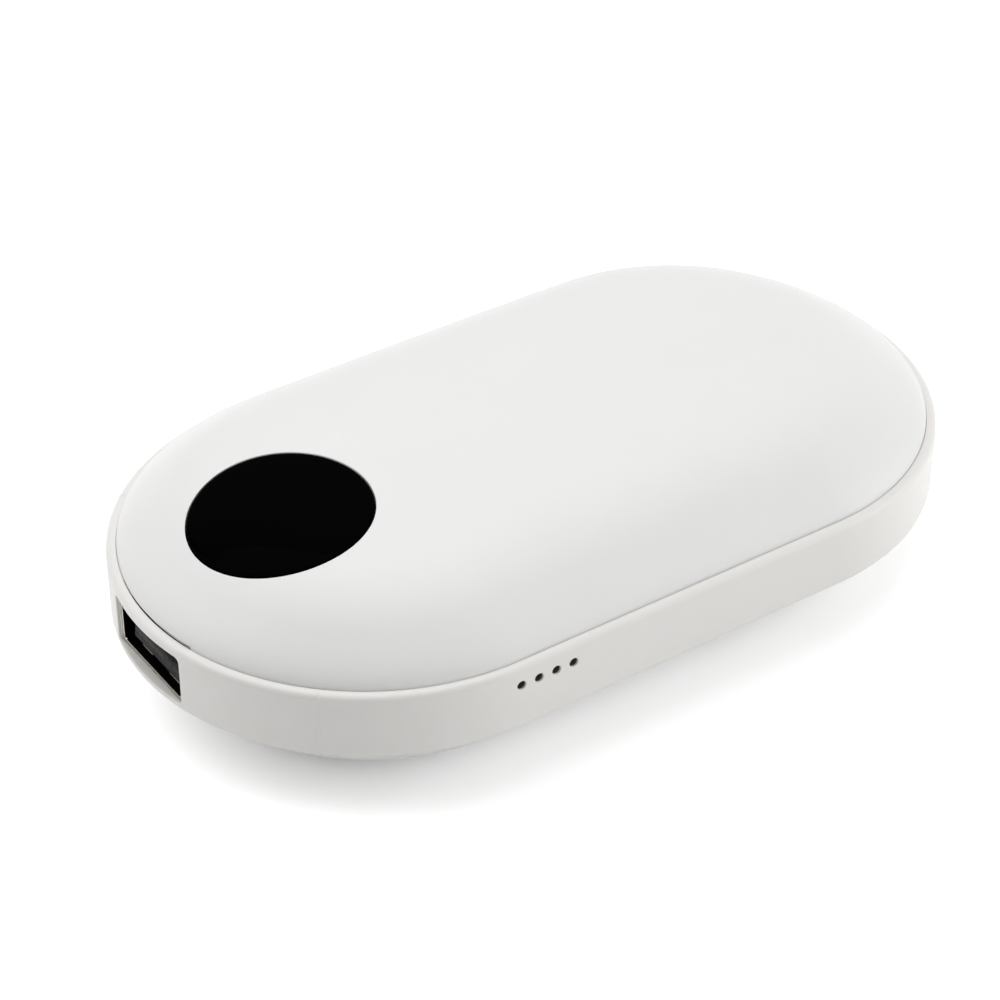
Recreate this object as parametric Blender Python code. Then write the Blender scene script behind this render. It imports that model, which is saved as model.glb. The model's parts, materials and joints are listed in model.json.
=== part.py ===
"""Rechargeable hand warmer: two moulded domes on a stadium-shaped band, with two cells, two heater films,
a press button, a USB-A output socket, a charging inlet and four status lights.

Metres, +Z up. The origin is on the ground under the middle of the part. X runs along the part, with the
output socket at the -X end, and the status lights look out of the -Y side."""

import math

import bmesh
import bpy
from mathutils import Matrix, Vector

# Outline and heights of the housing
BODY_LENGTH = 0.104
BODY_WIDTH = 0.060
BAND_HEIGHT = 0.0082
TOP_RISE = 0.008
BOTTOM_RISE = 0.0088
CROWN_RISE = 0.0013
RIM_WALL_HEIGHT = 0.0005
DOME_POWER = 5.2
CROWN_POWER = 4
FLAT_SHARE = 1.03

# Walls, seats and gaps
SHELL_WALL = 0.0012
LIP_THICKNESS = 0.0012
REBATE_DEPTH = 0.0008
LEDGE_WIDTH = 0.0015
LIP_FILLET = 0.001
LOWER_FILLET = 0.0005
CATCH_RIB_DEPTH = 0.0008
CATCH_RIB_HEIGHT = 0.001
SEAM_GAP = 0.00012
SEAT_GAP = 0.0003
RUNNING_GAP = 0.00015
OVERRUN = 0.001
SINK = 0.0004
WELD_DISTANCE = 0.000001

# Relief slit in the top shell's rim over the socket
SLIT_WIDTH = 0.0148
SLIT_SHALLOW_DEPTH = 0.00008
SLIT_DEEP_DEPTH = 0.00028

# Snap clips inside the shells
CLIP_WIDTH = 0.005
CLIP_THICKNESS = 0.001
CLIP_REACH = 0.0007
CLIP_TIP_HEIGHT = 0.0008
TOP_CLIP_END_SHARES = (0, 0, 1, 1, 1, -1, -1)
TOP_CLIP_ANGLES = (90, -90, 90, -90, 0, 125, -125)
BOTTOM_CLIP_END_SHARES = (0.4, 0.4, 1, 1)
BOTTOM_CLIP_ANGLES = (90, -90, 25, -25)

# Ribs inside the shells, which hold the cell holders
RIB_THICKNESS = 0.0012
RIB_START = 0.004
RIB_END = 0.0145

# Button
BUTTON_RADIUS = 0.0105
BUTTON_INSET = 0.0182
BUTTON_TRAVEL = 0.0005
FLANGE_WIDTH = 0.0011
FLANGE_THICKNESS = 0.0008
STEM_RADIUS = 0.0016
GUIDE_THICKNESS = 0.001
GUIDE_EDGE = 0.0006
GUIDE_FRONT_REACH = 0.0092
GUIDE_HUB_WALL = 0.0012
GUIDE_HUB_HEIGHT = 0.0024
POST_RADIUS = 0.0009
POST_ANGLES = (95, 130, -130, -95)

# Tact switch
SWITCH_WIDTH = 0.0052
SWITCH_HEIGHT = 0.0035
SWITCH_FILLET = 0.0003
PLUNGER_RADIUS = 0.0013
PLUNGER_HEIGHT = 0.0014
PLUNGER_INSERTION = 0.001

# USB-A output socket, tongue side down
SOCKET_WIDTH = 0.0131
SOCKET_HEIGHT = 0.0057
SOCKET_LENGTH = 0.0133
SOCKET_SHEET = 0.0003
SOCKET_CORNER = 0.0006
SOCKET_RECESS = 0.0012
SOCKET_DROP = 0.0017
SOCKET_GAP = 0.00015
PORT_SIDE_GAP = 0.00035
PORT_LOW_GAP = 0.00005
PORT_HIGH_GAP = 0.00055
PORT_CORNER = 0.0006
TONGUE_WIDTH = 0.0111
TONGUE_THICKNESS = 0.00184
TONGUE_SETBACK = 0.00075
TONGUE_LIFT = 0.00065
TONGUE_CHAMFER = 0.0004
SOCKET_BLOCK_LENGTH = 0.0035
CONTACT_WIDTH = 0.001
CONTACT_THICKNESS = 0.0003
CONTACT_LENGTH = 0.0065
CONTACT_TIP_SETBACK = 0.0012
CONTACT_OUTER_SPREAD = 0.007
CONTACT_INNER_SPREAD = 0.002
FINGER_WIDTH = 0.0022
FINGER_LENGTH = 0.005
FINGER_RISE = 0.0003
FINGER_SPREAD = 0.006
FINGER_SETBACK = 0.0009
FINGER_CREST_SHARES = (0.3, 0.6)

# Charging inlet on the hidden long side
INLET_WIDTH = 0.0076
INLET_HEIGHT = 0.0028
INLET_LENGTH = 0.0056
INLET_SHEET = 0.0003
INLET_INSET = 0.033
INLET_RECESS = 0.0007
INLET_TONGUE_WIDTH = 0.0036
INLET_TONGUE_THICKNESS = 0.0006
INLET_TONGUE_SETBACK = 0.0008
INLET_BLOCK_LENGTH = 0.0016

# Status lights
LIGHT_COUNT = 4
LIGHT_PITCH = 0.00227
LIGHT_INSET = 0.0296
LIGHT_DROP = 0.0024
LIGHT_HOLE_RADIUS = 0.0005
LED_LENGTH = 0.0016
LED_WIDTH = 0.0008
LED_HEIGHT = 0.0006
GUIDE_FINGER_WIDTH = 0.0012
GUIDE_FINGER_THICKNESS = 0.0008
GUIDE_FINGER_CHAMFER = 0.0004
GUIDE_BAR_HEIGHT = 0.0009
GUIDE_FOOT_LENGTH = 0.0012

# Main board
BOARD_THICKNESS = 0.0012
BOARD_WALL_GAP = 0.001
BOARD_SCREW_MARGIN = 0.0028
BOARD_SCREW_INSET = 0.0035
BOARD_ARM_WIDTH = 0.0068
BOARD_PART_GAP = 0.0015
SCREW_RADIUS = 0.0009
SCREW_HEAD_RADIUS = 0.0017
SCREW_HEAD_HEIGHT = 0.0011
SCREW_LENGTH = 0.0044
SCREW_SOCKET_RADIUS = 0.0006
SCREW_SOCKET_DEPTH = 0.0006
BOSS_WALL = 0.0010
CHIP_WIDTH = 0.005
CHIP_HEIGHT = 0.0009
CHIP_INSET = 0.0115
INDUCTOR_WIDTH = 0.0062
INDUCTOR_HEIGHT = 0.0030
INDUCTOR_FILLET = 0.0008
INDUCTOR_INSET = 0.0125

# Cells, their holders, strips and leads
CELL_NEAR_INSET = 0.0255
CELL_FAR_INSET = 0.0135
CELL_SPACING = 0.0005
CELL_HEADROOM = 0.0005
CELL_EDGE_FILLET = 0.0008
CELL_CAP_RADIUS_SHARE = 0.36
HOLDER_BACK = 0.0014
HOLDER_POCKET_DEPTH = 0.0022
HOLDER_HEIGHT = 0.0097
HOLDER_SIDE_INSET = 0.00155
HOLDER_WINDOW_RADIUS_SHARE = 0.55
STRIP_THICKNESS = 0.0003
STRIP_HEIGHT = 0.004
STRIP_OVERHANG = 0.0015
LEAD_RADIUS = 0.0005

# Heaters
SPREADER_THICKNESS = 0.0005
FILM_THICKNESS = 0.00025
HEATER_NEAR_INSET = 0.0325
HEATER_FAR_INSET = 0.022
HEATER_WIDTH = 0.024
SPREADER_MARGIN = 0.0015
SENSOR_LENGTH = 0.0022
SENSOR_WIDTH = 0.0016
SENSOR_HEIGHT = 0.0011

# Steps of the facets
ARC_STEPS = 24
SIDE_STEPS = 5
ROUND_STEPS = 24
SMALL_STEPS = 12
BUTTON_STEPS = 40
FILLET_STEPS = 3
SHEET_STEPS = 8
SLIT_STEPS = 4
HEXAGON_STEPS = 6
SHADE_ANGLE = 35
DOME_SHARES = (0.985, 0.96, 0.93, 0.89, 0.84, 0.78, 0.71, 0.61, 0.5, 0.0)
INNER_DOME_SHARES = (0.96, 0.9, 0.81, 0.68, 0.52, 0.36, 0.0)
BUTTON_RING_SHARES = (1.0, 0.8, 0.55, 0.28, 0.0)

# Finishes: colour, roughness and metallic share
WHITE_ABS = ((0.83, 0.83, 0.82), 0.45, 0.0)
BAND_WHITE = ((0.78, 0.76, 0.73), 0.45, 0.0)
GLOSS_BLACK = ((0.004, 0.004, 0.005), 0.08, 0.0)
INNER_PLASTIC = ((0.62, 0.62, 0.60), 0.6, 0.0)
BLACK_PLASTIC = ((0.03, 0.03, 0.035), 0.5, 0.0)
TONGUE_PLASTIC = ((0.05, 0.048, 0.052), 0.55, 0.0)
STEEL = ((0.55, 0.55, 0.56), 0.3, 1.0)
DARK_STEEL = ((0.03, 0.03, 0.03), 0.45, 1.0)
GOLD_PLATE = ((0.85, 0.62, 0.28), 0.25, 1.0)
BOARD_GREEN = ((0.02, 0.11, 0.05), 0.5, 0.0)
CLEAR_GUIDE = ((0.75, 0.77, 0.78), 0.2, 0.0)
LED_YELLOW = ((0.75, 0.62, 0.25), 0.4, 0.0)
CELL_WRAP = ((0.03, 0.10, 0.28), 0.35, 0.0)
NICKEL = ((0.66, 0.62, 0.56), 0.35, 1.0)
ALUMINIUM = ((0.77, 0.78, 0.79), 0.35, 1.0)
FILM_AMBER = ((0.42, 0.18, 0.03), 0.3, 0.0)
LEAD_RED = ((0.45, 0.02, 0.02), 0.45, 0.0)
LEAD_BLACK = ((0.02, 0.02, 0.02), 0.45, 0.0)

# Places worked out from the sizes above
END_RADIUS = BODY_WIDTH / 2
HALF_LENGTH = BODY_LENGTH / 2
HALF_STRAIGHT = HALF_LENGTH - END_RADIUS
LOWER_SEAM = BOTTOM_RISE
UPPER_SEAM = BOTTOM_RISE + BAND_HEIGHT
MIDDLE = BOTTOM_RISE + BAND_HEIGHT / 2
REBATE_RADIUS = END_RADIUS - LIP_THICKNESS
RIM_RADIUS = REBATE_RADIUS - SEAM_GAP
INNER_RIM_RADIUS = RIM_RADIUS - SHELL_WALL
BAND_INNER_RADIUS = REBATE_RADIUS - LEDGE_WIDTH
TOP_RIM = UPPER_SEAM - REBATE_DEPTH + SEAT_GAP
BOTTOM_RIM = LOWER_SEAM + REBATE_DEPTH - SEAT_GAP
BUTTON_X = -HALF_LENGTH + BUTTON_INSET
FLANGE_RADIUS = BUTTON_RADIUS + FLANGE_WIDTH
POST_CIRCLE_RADIUS = FLANGE_RADIUS + SEAT_GAP + POST_RADIUS
GUIDE_RADIUS = POST_CIRCLE_RADIUS + POST_RADIUS + SEAT_GAP + GUIDE_EDGE
SOCKET_FACE_X = -HALF_LENGTH + SOCKET_RECESS
SOCKET_TOP = UPPER_SEAM - SOCKET_DROP
SOCKET_BOTTOM = SOCKET_TOP - SOCKET_HEIGHT
BOARD_TOP = SOCKET_BOTTOM - SEAT_GAP
BOARD_BOTTOM = BOARD_TOP - BOARD_THICKNESS
CELL_STACK = SHELL_WALL + SPREADER_THICKNESS + FILM_THICKNESS + 3 * SEAT_GAP + CELL_HEADROOM
CELL_MIDDLE = (UPPER_SEAM + TOP_RISE) / 2
BOARD_RADIUS = BAND_INNER_RADIUS - BOARD_WALL_GAP
CELL_SIDE = CELL_SPACING / 2 + 3 * SEAT_GAP
CELL_RADIUS = min(CELL_MIDDLE - CELL_STACK, (BOARD_RADIUS - BOARD_ARM_WIDTH - CELL_SIDE) / 2)
CELL_NEAR_X = -HALF_LENGTH + CELL_NEAR_INSET
CELL_FAR_X = HALF_LENGTH - CELL_FAR_INSET
CELL_Y = CELL_RADIUS + CELL_SPACING / 2


def clear_scene():
    """Empty the scene, so that only this part is in it."""
    for thing in list(bpy.data.objects):
        bpy.data.objects.remove(thing, do_unlink=True)


# Surfaces of the housing


def medial_distance(x, y):
    """Distance of a point in plan from the line between the two end centres."""
    return math.hypot(max(abs(x) - HALF_STRAIGHT, 0), y)


def dome_share(x, share):
    """Height of the top dome over its seam, as a share of its whole rise."""
    side_share = 1 - CROWN_RISE / TOP_RISE
    across = 1 - share**DOME_POWER
    along = (1 - (x / (HALF_STRAIGHT + RIM_RADIUS)) ** 2) * (1 - share**CROWN_POWER)
    return side_share * across + (1 - side_share) * along


def bowl_share(share):
    """Depth of the bottom dome under its seam, as a share of its whole drop, with a flat to stand on."""
    return min(1, FLAT_SHARE * (1 - share**DOME_POWER))


def top_outside(x, y):
    """Height of the top shell's outer face over a point in plan."""
    return UPPER_SEAM + TOP_RISE * dome_share(x, min(medial_distance(x, y) / RIM_RADIUS, 1))


def top_inside(x, y):
    """Height of the top shell's inner face over a point in plan."""
    share = min(medial_distance(x, y) / INNER_RIM_RADIUS, 1)
    return TOP_RIM + (UPPER_SEAM + TOP_RISE - SHELL_WALL - TOP_RIM) * dome_share(x, share)


def bottom_outside(x, y):
    """Height of the bottom shell's outer face at a point in plan."""
    return LOWER_SEAM - BOTTOM_RISE * bowl_share(min(medial_distance(x, y) / RIM_RADIUS, 1))


def bottom_inside(x, y):
    """Height of the bottom shell's inner face at a point in plan."""
    share = min(medial_distance(x, y) / INNER_RIM_RADIUS, 1)
    return BOTTOM_RIM - (BOTTOM_RIM - SHELL_WALL) * bowl_share(share)


def top_wall(x, y):
    """Height of the middle of the top shell's wall, where what is joined to it starts."""
    return (top_inside(x, y) + top_outside(x, y)) / 2


def bottom_wall(x, y):
    """Height of the middle of the bottom shell's wall."""
    return (bottom_inside(x, y) + bottom_outside(x, y)) / 2


# Mesh helpers


def add_object(name, mesh_data, finish):
    """Make an object of a bmesh, with its origin in its middle, its own material and smooth round faces."""
    bmesh.ops.remove_doubles(mesh_data, verts=mesh_data.verts, dist=WELD_DISTANCE)
    bmesh.ops.recalc_face_normals(mesh_data, faces=mesh_data.faces)
    places = [[vert.co[axis] for vert in mesh_data.verts] for axis in range(3)]
    middle = Vector([(min(values) + max(values)) / 2 for values in places])
    mesh_data.transform(Matrix.Translation(-middle))
    mesh = bpy.data.meshes.new(name)
    mesh_data.to_mesh(mesh)
    mesh_data.free()
    thing = bpy.data.objects.new(name, mesh)
    thing.location = middle
    bpy.context.scene.collection.objects.link(thing)
    if finish:
        mesh.materials.append(material(name, *finish))
        mesh.shade_smooth()
        mesh.set_sharp_from_angle(angle=math.radians(SHADE_ANGLE))
    return thing


def material(name, colour, roughness, metallic):
    """Principled material of one object, from a finish."""
    made = bpy.data.materials.new(name + "_finish")
    made.use_nodes = True
    made.diffuse_color = (*colour, 1)
    shader = made.node_tree.nodes["Principled BSDF"]
    shader.inputs["Base Color"].default_value = (*colour, 1)
    shader.inputs["Roughness"].default_value = roughness
    shader.inputs["Metallic"].default_value = metallic
    return made


def stadium(radius):
    """Plan outline at one radius round the medial line, as points that pair up across it."""
    points = []
    for end in (1, -1):
        for step in range(ARC_STEPS + 1):
            angle = math.pi * (step / ARC_STEPS - 0.5)
            points.append((end * (HALF_STRAIGHT + radius * math.cos(angle)), end * radius * math.sin(angle)))
        for step in range(1, SIDE_STEPS):
            points.append((end * HALF_STRAIGHT * (1 - 2 * step / SIDE_STEPS), end * radius))
    return points


def circle(radius, steps):
    """Outline of a circle centred on zero."""
    return [
        (radius * math.cos(math.tau * step / steps), radius * math.sin(math.tau * step / steps))
        for step in range(steps)
    ]


def loft(name, rings, finish, closed=False, caps=False):
    """Join rings of points with faces. Closed joins the last ring to the first, and caps fills the ends."""
    mesh_data = bmesh.new()
    rows = [[mesh_data.verts.new(point) for point in ring] for ring in rings]
    pairs = list(zip(rows, rows[1:]))
    if closed:
        pairs.append((rows[-1], rows[0]))
    for lower, upper in pairs:
        for index in range(len(lower)):
            after = (index + 1) % len(lower)
            mesh_data.faces.new((lower[index], lower[after], upper[after], upper[index]))
    if caps:
        mesh_data.faces.new(list(reversed(rows[0])))
        mesh_data.faces.new(rows[-1])
    return add_object(name, mesh_data, finish)


def prism(name, outline, low, high, finish):
    """Extrude an outline in plan from one height to another."""
    return loft(name, [[(x, y, z) for x, y in outline] for z in (low, high)], finish, caps=True)


def box(name, low, high, finish, fillet=0):
    """Box between two corners, with its edges rounded where a fillet is given."""
    outline = [(low[0], low[1]), (high[0], low[1]), (high[0], high[1]), (low[0], high[1])]
    made = prism(name, outline, low[2], high[2], finish)
    if fillet:
        bevel = made.modifiers.new("rounded edges", "BEVEL")
        bevel.width = fillet
        bevel.segments = 2
        bevel.harden_normals = False
    return made


def rounded_rectangle(width, height, corner):
    """Outline of a rectangle with round corners, centred on zero."""
    points = []
    for quarter in range(4):
        side_x = 1 if quarter in (0, 3) else -1
        side_y = 1 if quarter < 2 else -1
        for step in range(FILLET_STEPS + 1):
            angle = math.pi / 2 * (quarter + step / FILLET_STEPS)
            points.append(
                (
                    side_x * (width / 2 - corner) + corner * math.cos(angle),
                    side_y * (height / 2 - corner) + corner * math.sin(angle),
                )
            )
    return points


def along(axis, outline, start, end, centre, name, finish):
    """Extrude an outline along X or Y. Its first coordinate lies across, and its second is height."""
    rings = []
    for place in (start, end):
        if axis == "X":
            rings.append([(place, centre[0] + across, centre[1] + up) for across, up in outline])
        else:
            rings.append([(centre[0] + across, place, centre[1] + up) for across, up in outline])
    return loft(name, rings, finish, caps=True)


def upright_rod(name, centre, radii_and_heights, finish, steps=SMALL_STEPS):
    """Turned piece on an upright axis, as a list of radii and heights from one end to the other."""
    rings = [
        [(centre[0] + x, centre[1] + y, height) for x, y in circle(radius, steps)]
        for radius, height in radii_and_heights
    ]
    return loft(name, rings, finish, caps=True)


def draped(name, x_range, y_range, upper, lower, finish, x_steps=SHEET_STEPS, y_steps=SHEET_STEPS):
    """Block whose upper and lower faces each follow a height given as a function of the plan."""
    edge = []
    for step in range(x_steps):
        edge.append((x_range[0] + (x_range[1] - x_range[0]) * step / x_steps, y_range[0]))
    for step in range(y_steps):
        edge.append((x_range[1], y_range[0] + (y_range[1] - y_range[0]) * step / y_steps))
    for step in range(x_steps):
        edge.append((x_range[1] - (x_range[1] - x_range[0]) * step / x_steps, y_range[1]))
    for step in range(y_steps):
        edge.append((x_range[0], y_range[1] - (y_range[1] - y_range[0]) * step / y_steps))
    mesh_data = bmesh.new()
    for height in (upper, lower):
        grid = []
        for row in range(y_steps + 1):
            y = y_range[0] + (y_range[1] - y_range[0]) * row / y_steps
            xs = [x_range[0] + (x_range[1] - x_range[0]) * step / x_steps for step in range(x_steps + 1)]
            grid.append([mesh_data.verts.new((x, y, height(x, y))) for x in xs])
        for first, second in zip(grid, grid[1:]):
            for index in range(x_steps):
                mesh_data.faces.new((first[index], first[index + 1], second[index + 1], second[index]))
    rows = [[mesh_data.verts.new((x, y, height(x, y))) for x, y in edge] for height in (lower, upper)]
    for index in range(len(edge)):
        after = (index + 1) % len(edge)
        mesh_data.faces.new((rows[0][index], rows[0][after], rows[1][after], rows[1][index]))
    return add_object(name, mesh_data, finish)


def tube(name, route, radius, finish):
    """Round lead along a smooth curve through the route's points."""
    curve = bpy.data.curves.new(name, "CURVE")
    curve.dimensions = "3D"
    curve.bevel_depth = radius
    curve.bevel_resolution = 1
    curve.use_fill_caps = True
    spline = curve.splines.new("POLY")
    spline.points.add(len(route) - 1)
    for point, place in zip(spline.points, route):
        point.co = (*place, 1)
    curve.materials.append(material(name, *finish))
    made = bpy.data.objects.new(name, curve)
    bpy.context.scene.collection.objects.link(made)
    return made


def smooth_route(points, steps=4):
    """Points read from a Catmull-Rom curve through the given ones."""
    places = [Vector(point) for point in points]
    places = [2 * places[0] - places[1], *places, 2 * places[-1] - places[-2]]
    route = []
    for before, start, end, after in zip(places, places[1:], places[2:], places[3:]):
        for step in range(steps):
            t = step / steps
            route.append(
                (
                    2 * start
                    + (end - before) * t
                    + (2 * before - 5 * start + 4 * end - after) * t**2
                    + (3 * start - before - 3 * end + after) * t**3
                )
                / 2
            )
    return [*route, places[-2]]


def carry(name, place, *things):
    """Empty on a joint's axis, which carries the pieces that move together."""
    carrier = bpy.data.objects.new(name, None)
    carrier.location = place
    bpy.context.scene.collection.objects.link(carrier)
    for thing in things:
        thing.parent = carrier
        thing.location -= carrier.location


def work(target, tool, operation):
    """Cut a tool out of a target, or join it on, and hide the tool."""
    modifier = target.modifiers.new(f"{operation.lower()} {tool.name}", "BOOLEAN")
    modifier.operation = operation
    modifier.solver = "EXACT"
    modifier.object = tool
    tool.hide_render = True
    tool.display_type = "WIRE"


def cut(target, *tools):
    """Cut each tool out of a target."""
    for tool in tools:
        work(target, tool, "DIFFERENCE")


def join(target, *tools):
    """Join each tool on to a target."""
    for tool in tools:
        work(target, tool, "UNION")


# Housing


def shell(name, outside, inside, rim, rim_wall, finish):
    """Domed shell: in over its inner face, round its rim and out over its outer face."""
    rings = []
    for share in reversed(INNER_DOME_SHARES):
        outline = stadium(share * INNER_RIM_RADIUS)
        rings.append([(x, y, inside(x, y)) for x, y in outline])
    rings.append([(x, y, rim) for x, y in stadium(INNER_RIM_RADIUS)])
    rings.append([(x, y, rim) for x, y in stadium(RIM_RADIUS)])
    rings.append([(x, y, rim_wall) for x, y in stadium(RIM_RADIUS)])
    for share in DOME_SHARES:
        outline = stadium(share * RIM_RADIUS)
        rings.append([(x, y, outside(x, y)) for x, y in outline])
    return loft(name, rings, finish)


def clip(name, place, angle, wall, side):
    """Snap clip from a shell's wall past the catch rib. Side is 1 for the bottom shell, -1 for the top."""
    catch = MIDDLE + side * (CATCH_RIB_HEIGHT / 2 + SEAT_GAP)
    tip = catch + side * CLIP_TIP_HEIGHT
    outer = BAND_INNER_RADIUS - CATCH_RIB_DEPTH - SEAT_GAP
    profile = [
        (outer - CLIP_THICKNESS, None),
        (outer, None),
        (outer, catch),
        (outer + CLIP_REACH, catch),
        (outer, tip),
        (outer - CLIP_THICKNESS, tip),
    ]
    rings = []
    for across in (-CLIP_WIDTH / 2, CLIP_WIDTH / 2):
        ring = []
        for radius, height in profile:
            turned = Matrix.Rotation(math.radians(angle), 4, "Z") @ Vector((radius, across, 0))
            x, y = place + turned.x, turned.y
            ring.append((x, y, wall(x, y) if height is None else height))
        rings.append(ring)
    return loft(name, rings, None, caps=True)


def rib_places(clear_of_button):
    """Plan ranges of a shell's ribs over or under the two cell holders, outside the button where it asks."""
    places = []
    for end_x in (holder_middle("near"), holder_middle("far")):
        button_reach = FLANGE_RADIUS + 2 * SEAT_GAP
        offset = end_x + RIB_THICKNESS / 2 - BUTTON_X
        start = RIB_START
        if clear_of_button and offset < button_reach:
            start = math.sqrt(button_reach**2 - (offset - RIB_THICKNESS) ** 2)
        for side in (1, -1):
            ends = sorted((side * start, side * RIB_END))
            places.append(((end_x - RIB_THICKNESS / 2, end_x + RIB_THICKNESS / 2), ends))
    return places


def post_places():
    """Places in plan of the posts that carry the button's guide plate."""
    return [
        (
            BUTTON_X + POST_CIRCLE_RADIUS * math.cos(math.radians(angle)),
            POST_CIRCLE_RADIUS * math.sin(math.radians(angle)),
        )
        for angle in POST_ANGLES
    ]


def top_shell():
    """Crowned shell with the button's hole, the relief slit, ribs, guide posts and snap clips."""
    made = shell("top_shell", top_outside, top_inside, TOP_RIM, UPPER_SEAM + RIM_WALL_HEIGHT, WHITE_ABS)
    hole = upright_rod(
        "button_hole_cutter",
        (BUTTON_X, 0),
        [(BUTTON_RADIUS, UPPER_SEAM), (BUTTON_RADIUS, UPPER_SEAM + TOP_RISE + OVERRUN)],
        None,
        BUTTON_STEPS,
    )
    cut(made, hole, relief_slit())
    for number, (x_range, y_range) in enumerate(rib_places(clear_of_button=True), 1):
        rib = draped(
            f"top_rib_tool_{number}",
            x_range,
            y_range,
            top_wall,
            lambda x, y: CELL_MIDDLE + HOLDER_HEIGHT / 2 + SEAT_GAP,
            None,
            1,
        )
        join(made, rib)
    for number, place in enumerate(post_places(), 1):
        join(made, wall_post(f"guide_post_tool_{number}", place, POST_RADIUS, top_wall, guide_bottom()))
    for number, (end, angle) in enumerate(zip(TOP_CLIP_END_SHARES, TOP_CLIP_ANGLES), 1):
        join(made, clip(f"top_clip_tool_{number}", end * HALF_STRAIGHT, angle, top_wall, -1))
    return made


def wall_post(name, place, radius, wall, end):
    """Round post from the middle of a shell's wall, whose slope its root follows, to an end height."""
    outline = [(place[0] + x, place[1] + y) for x, y in circle(radius, SMALL_STEPS)]
    rings = [[(x, y, wall(x, y)) for x, y in outline], [(x, y, end) for x, y in outline]]
    return loft(name, rings, None, caps=True)


def relief_slit():
    """Cutter for the gap between the rim and the band over the socket, which grows toward the front."""
    half_angle = math.asin(SLIT_WIDTH / 2 / RIM_RADIUS)
    rings = []
    for step in range(SLIT_STEPS + 1):
        share = step / SLIT_STEPS
        angle = math.pi - half_angle + 2 * half_angle * share
        depth = SLIT_SHALLOW_DEPTH + (SLIT_DEEP_DEPTH - SLIT_SHALLOW_DEPTH) * share
        ring = []
        for radius, height in (
            (RIM_RADIUS - depth, TOP_RIM - OVERRUN),
            (RIM_RADIUS + OVERRUN, TOP_RIM - OVERRUN),
            (RIM_RADIUS + OVERRUN, UPPER_SEAM + RIM_WALL_HEIGHT / 2),
            (RIM_RADIUS - depth, UPPER_SEAM + RIM_WALL_HEIGHT / 2),
        ):
            ring.append((-HALF_STRAIGHT + radius * math.cos(angle), radius * math.sin(angle), height))
        rings.append(ring)
    return loft("relief_slit_cutter", rings, None, caps=True)


def bottom_shell():
    """Shell that the part rests on, with ribs, screw bosses and snap clips."""
    rim_wall = LOWER_SEAM - RIM_WALL_HEIGHT
    made = shell("bottom_shell", bottom_outside, bottom_inside, BOTTOM_RIM, rim_wall, WHITE_ABS)
    for number, (x_range, y_range) in enumerate(rib_places(clear_of_button=False), 1):
        rib = draped(
            f"bottom_rib_tool_{number}",
            x_range,
            y_range,
            lambda x, y: CELL_MIDDLE - HOLDER_HEIGHT / 2 - SEAT_GAP,
            bottom_wall,
            None,
            1,
        )
        join(made, rib)
    bore = SCREW_RADIUS + SEAT_GAP
    top = BOARD_BOTTOM - SEAT_GAP
    for number, place in enumerate(screw_places(), 1):
        join(made, wall_post(f"boss_tool_{number}", place, bore + BOSS_WALL, bottom_wall, top))
        floor = max(bottom_inside(*place), screw_tip() - SEAT_GAP)
        cut(made, upright_rod(f"boss_cutter_{number}", place, [(bore, floor), (bore, top + OVERRUN)], None))
    for number, (end, angle) in enumerate(zip(BOTTOM_CLIP_END_SHARES, BOTTOM_CLIP_ANGLES), 1):
        join(made, clip(f"bottom_clip_tool_{number}", end * HALF_STRAIGHT, angle, bottom_wall, 1))
    return made


def fillet_points(centre, radius, start, end):
    """Quarter round in the band's section, from one angle to another."""
    return [
        (
            centre[0] + radius * math.cos(math.radians(start + (end - start) * step / FILLET_STEPS)),
            centre[1] + radius * math.sin(math.radians(start + (end - start) * step / FILLET_STEPS)),
        )
        for step in range(FILLET_STEPS + 1)
    ]


def port_outline():
    """Outline and middle height of the opening in the band, a little larger than the socket all round."""
    width = SOCKET_WIDTH + 2 * PORT_SIDE_GAP
    low, high = SOCKET_BOTTOM - PORT_LOW_GAP, SOCKET_TOP + PORT_HIGH_GAP
    return rounded_rectangle(width, high - low, PORT_CORNER), (low + high) / 2


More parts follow.
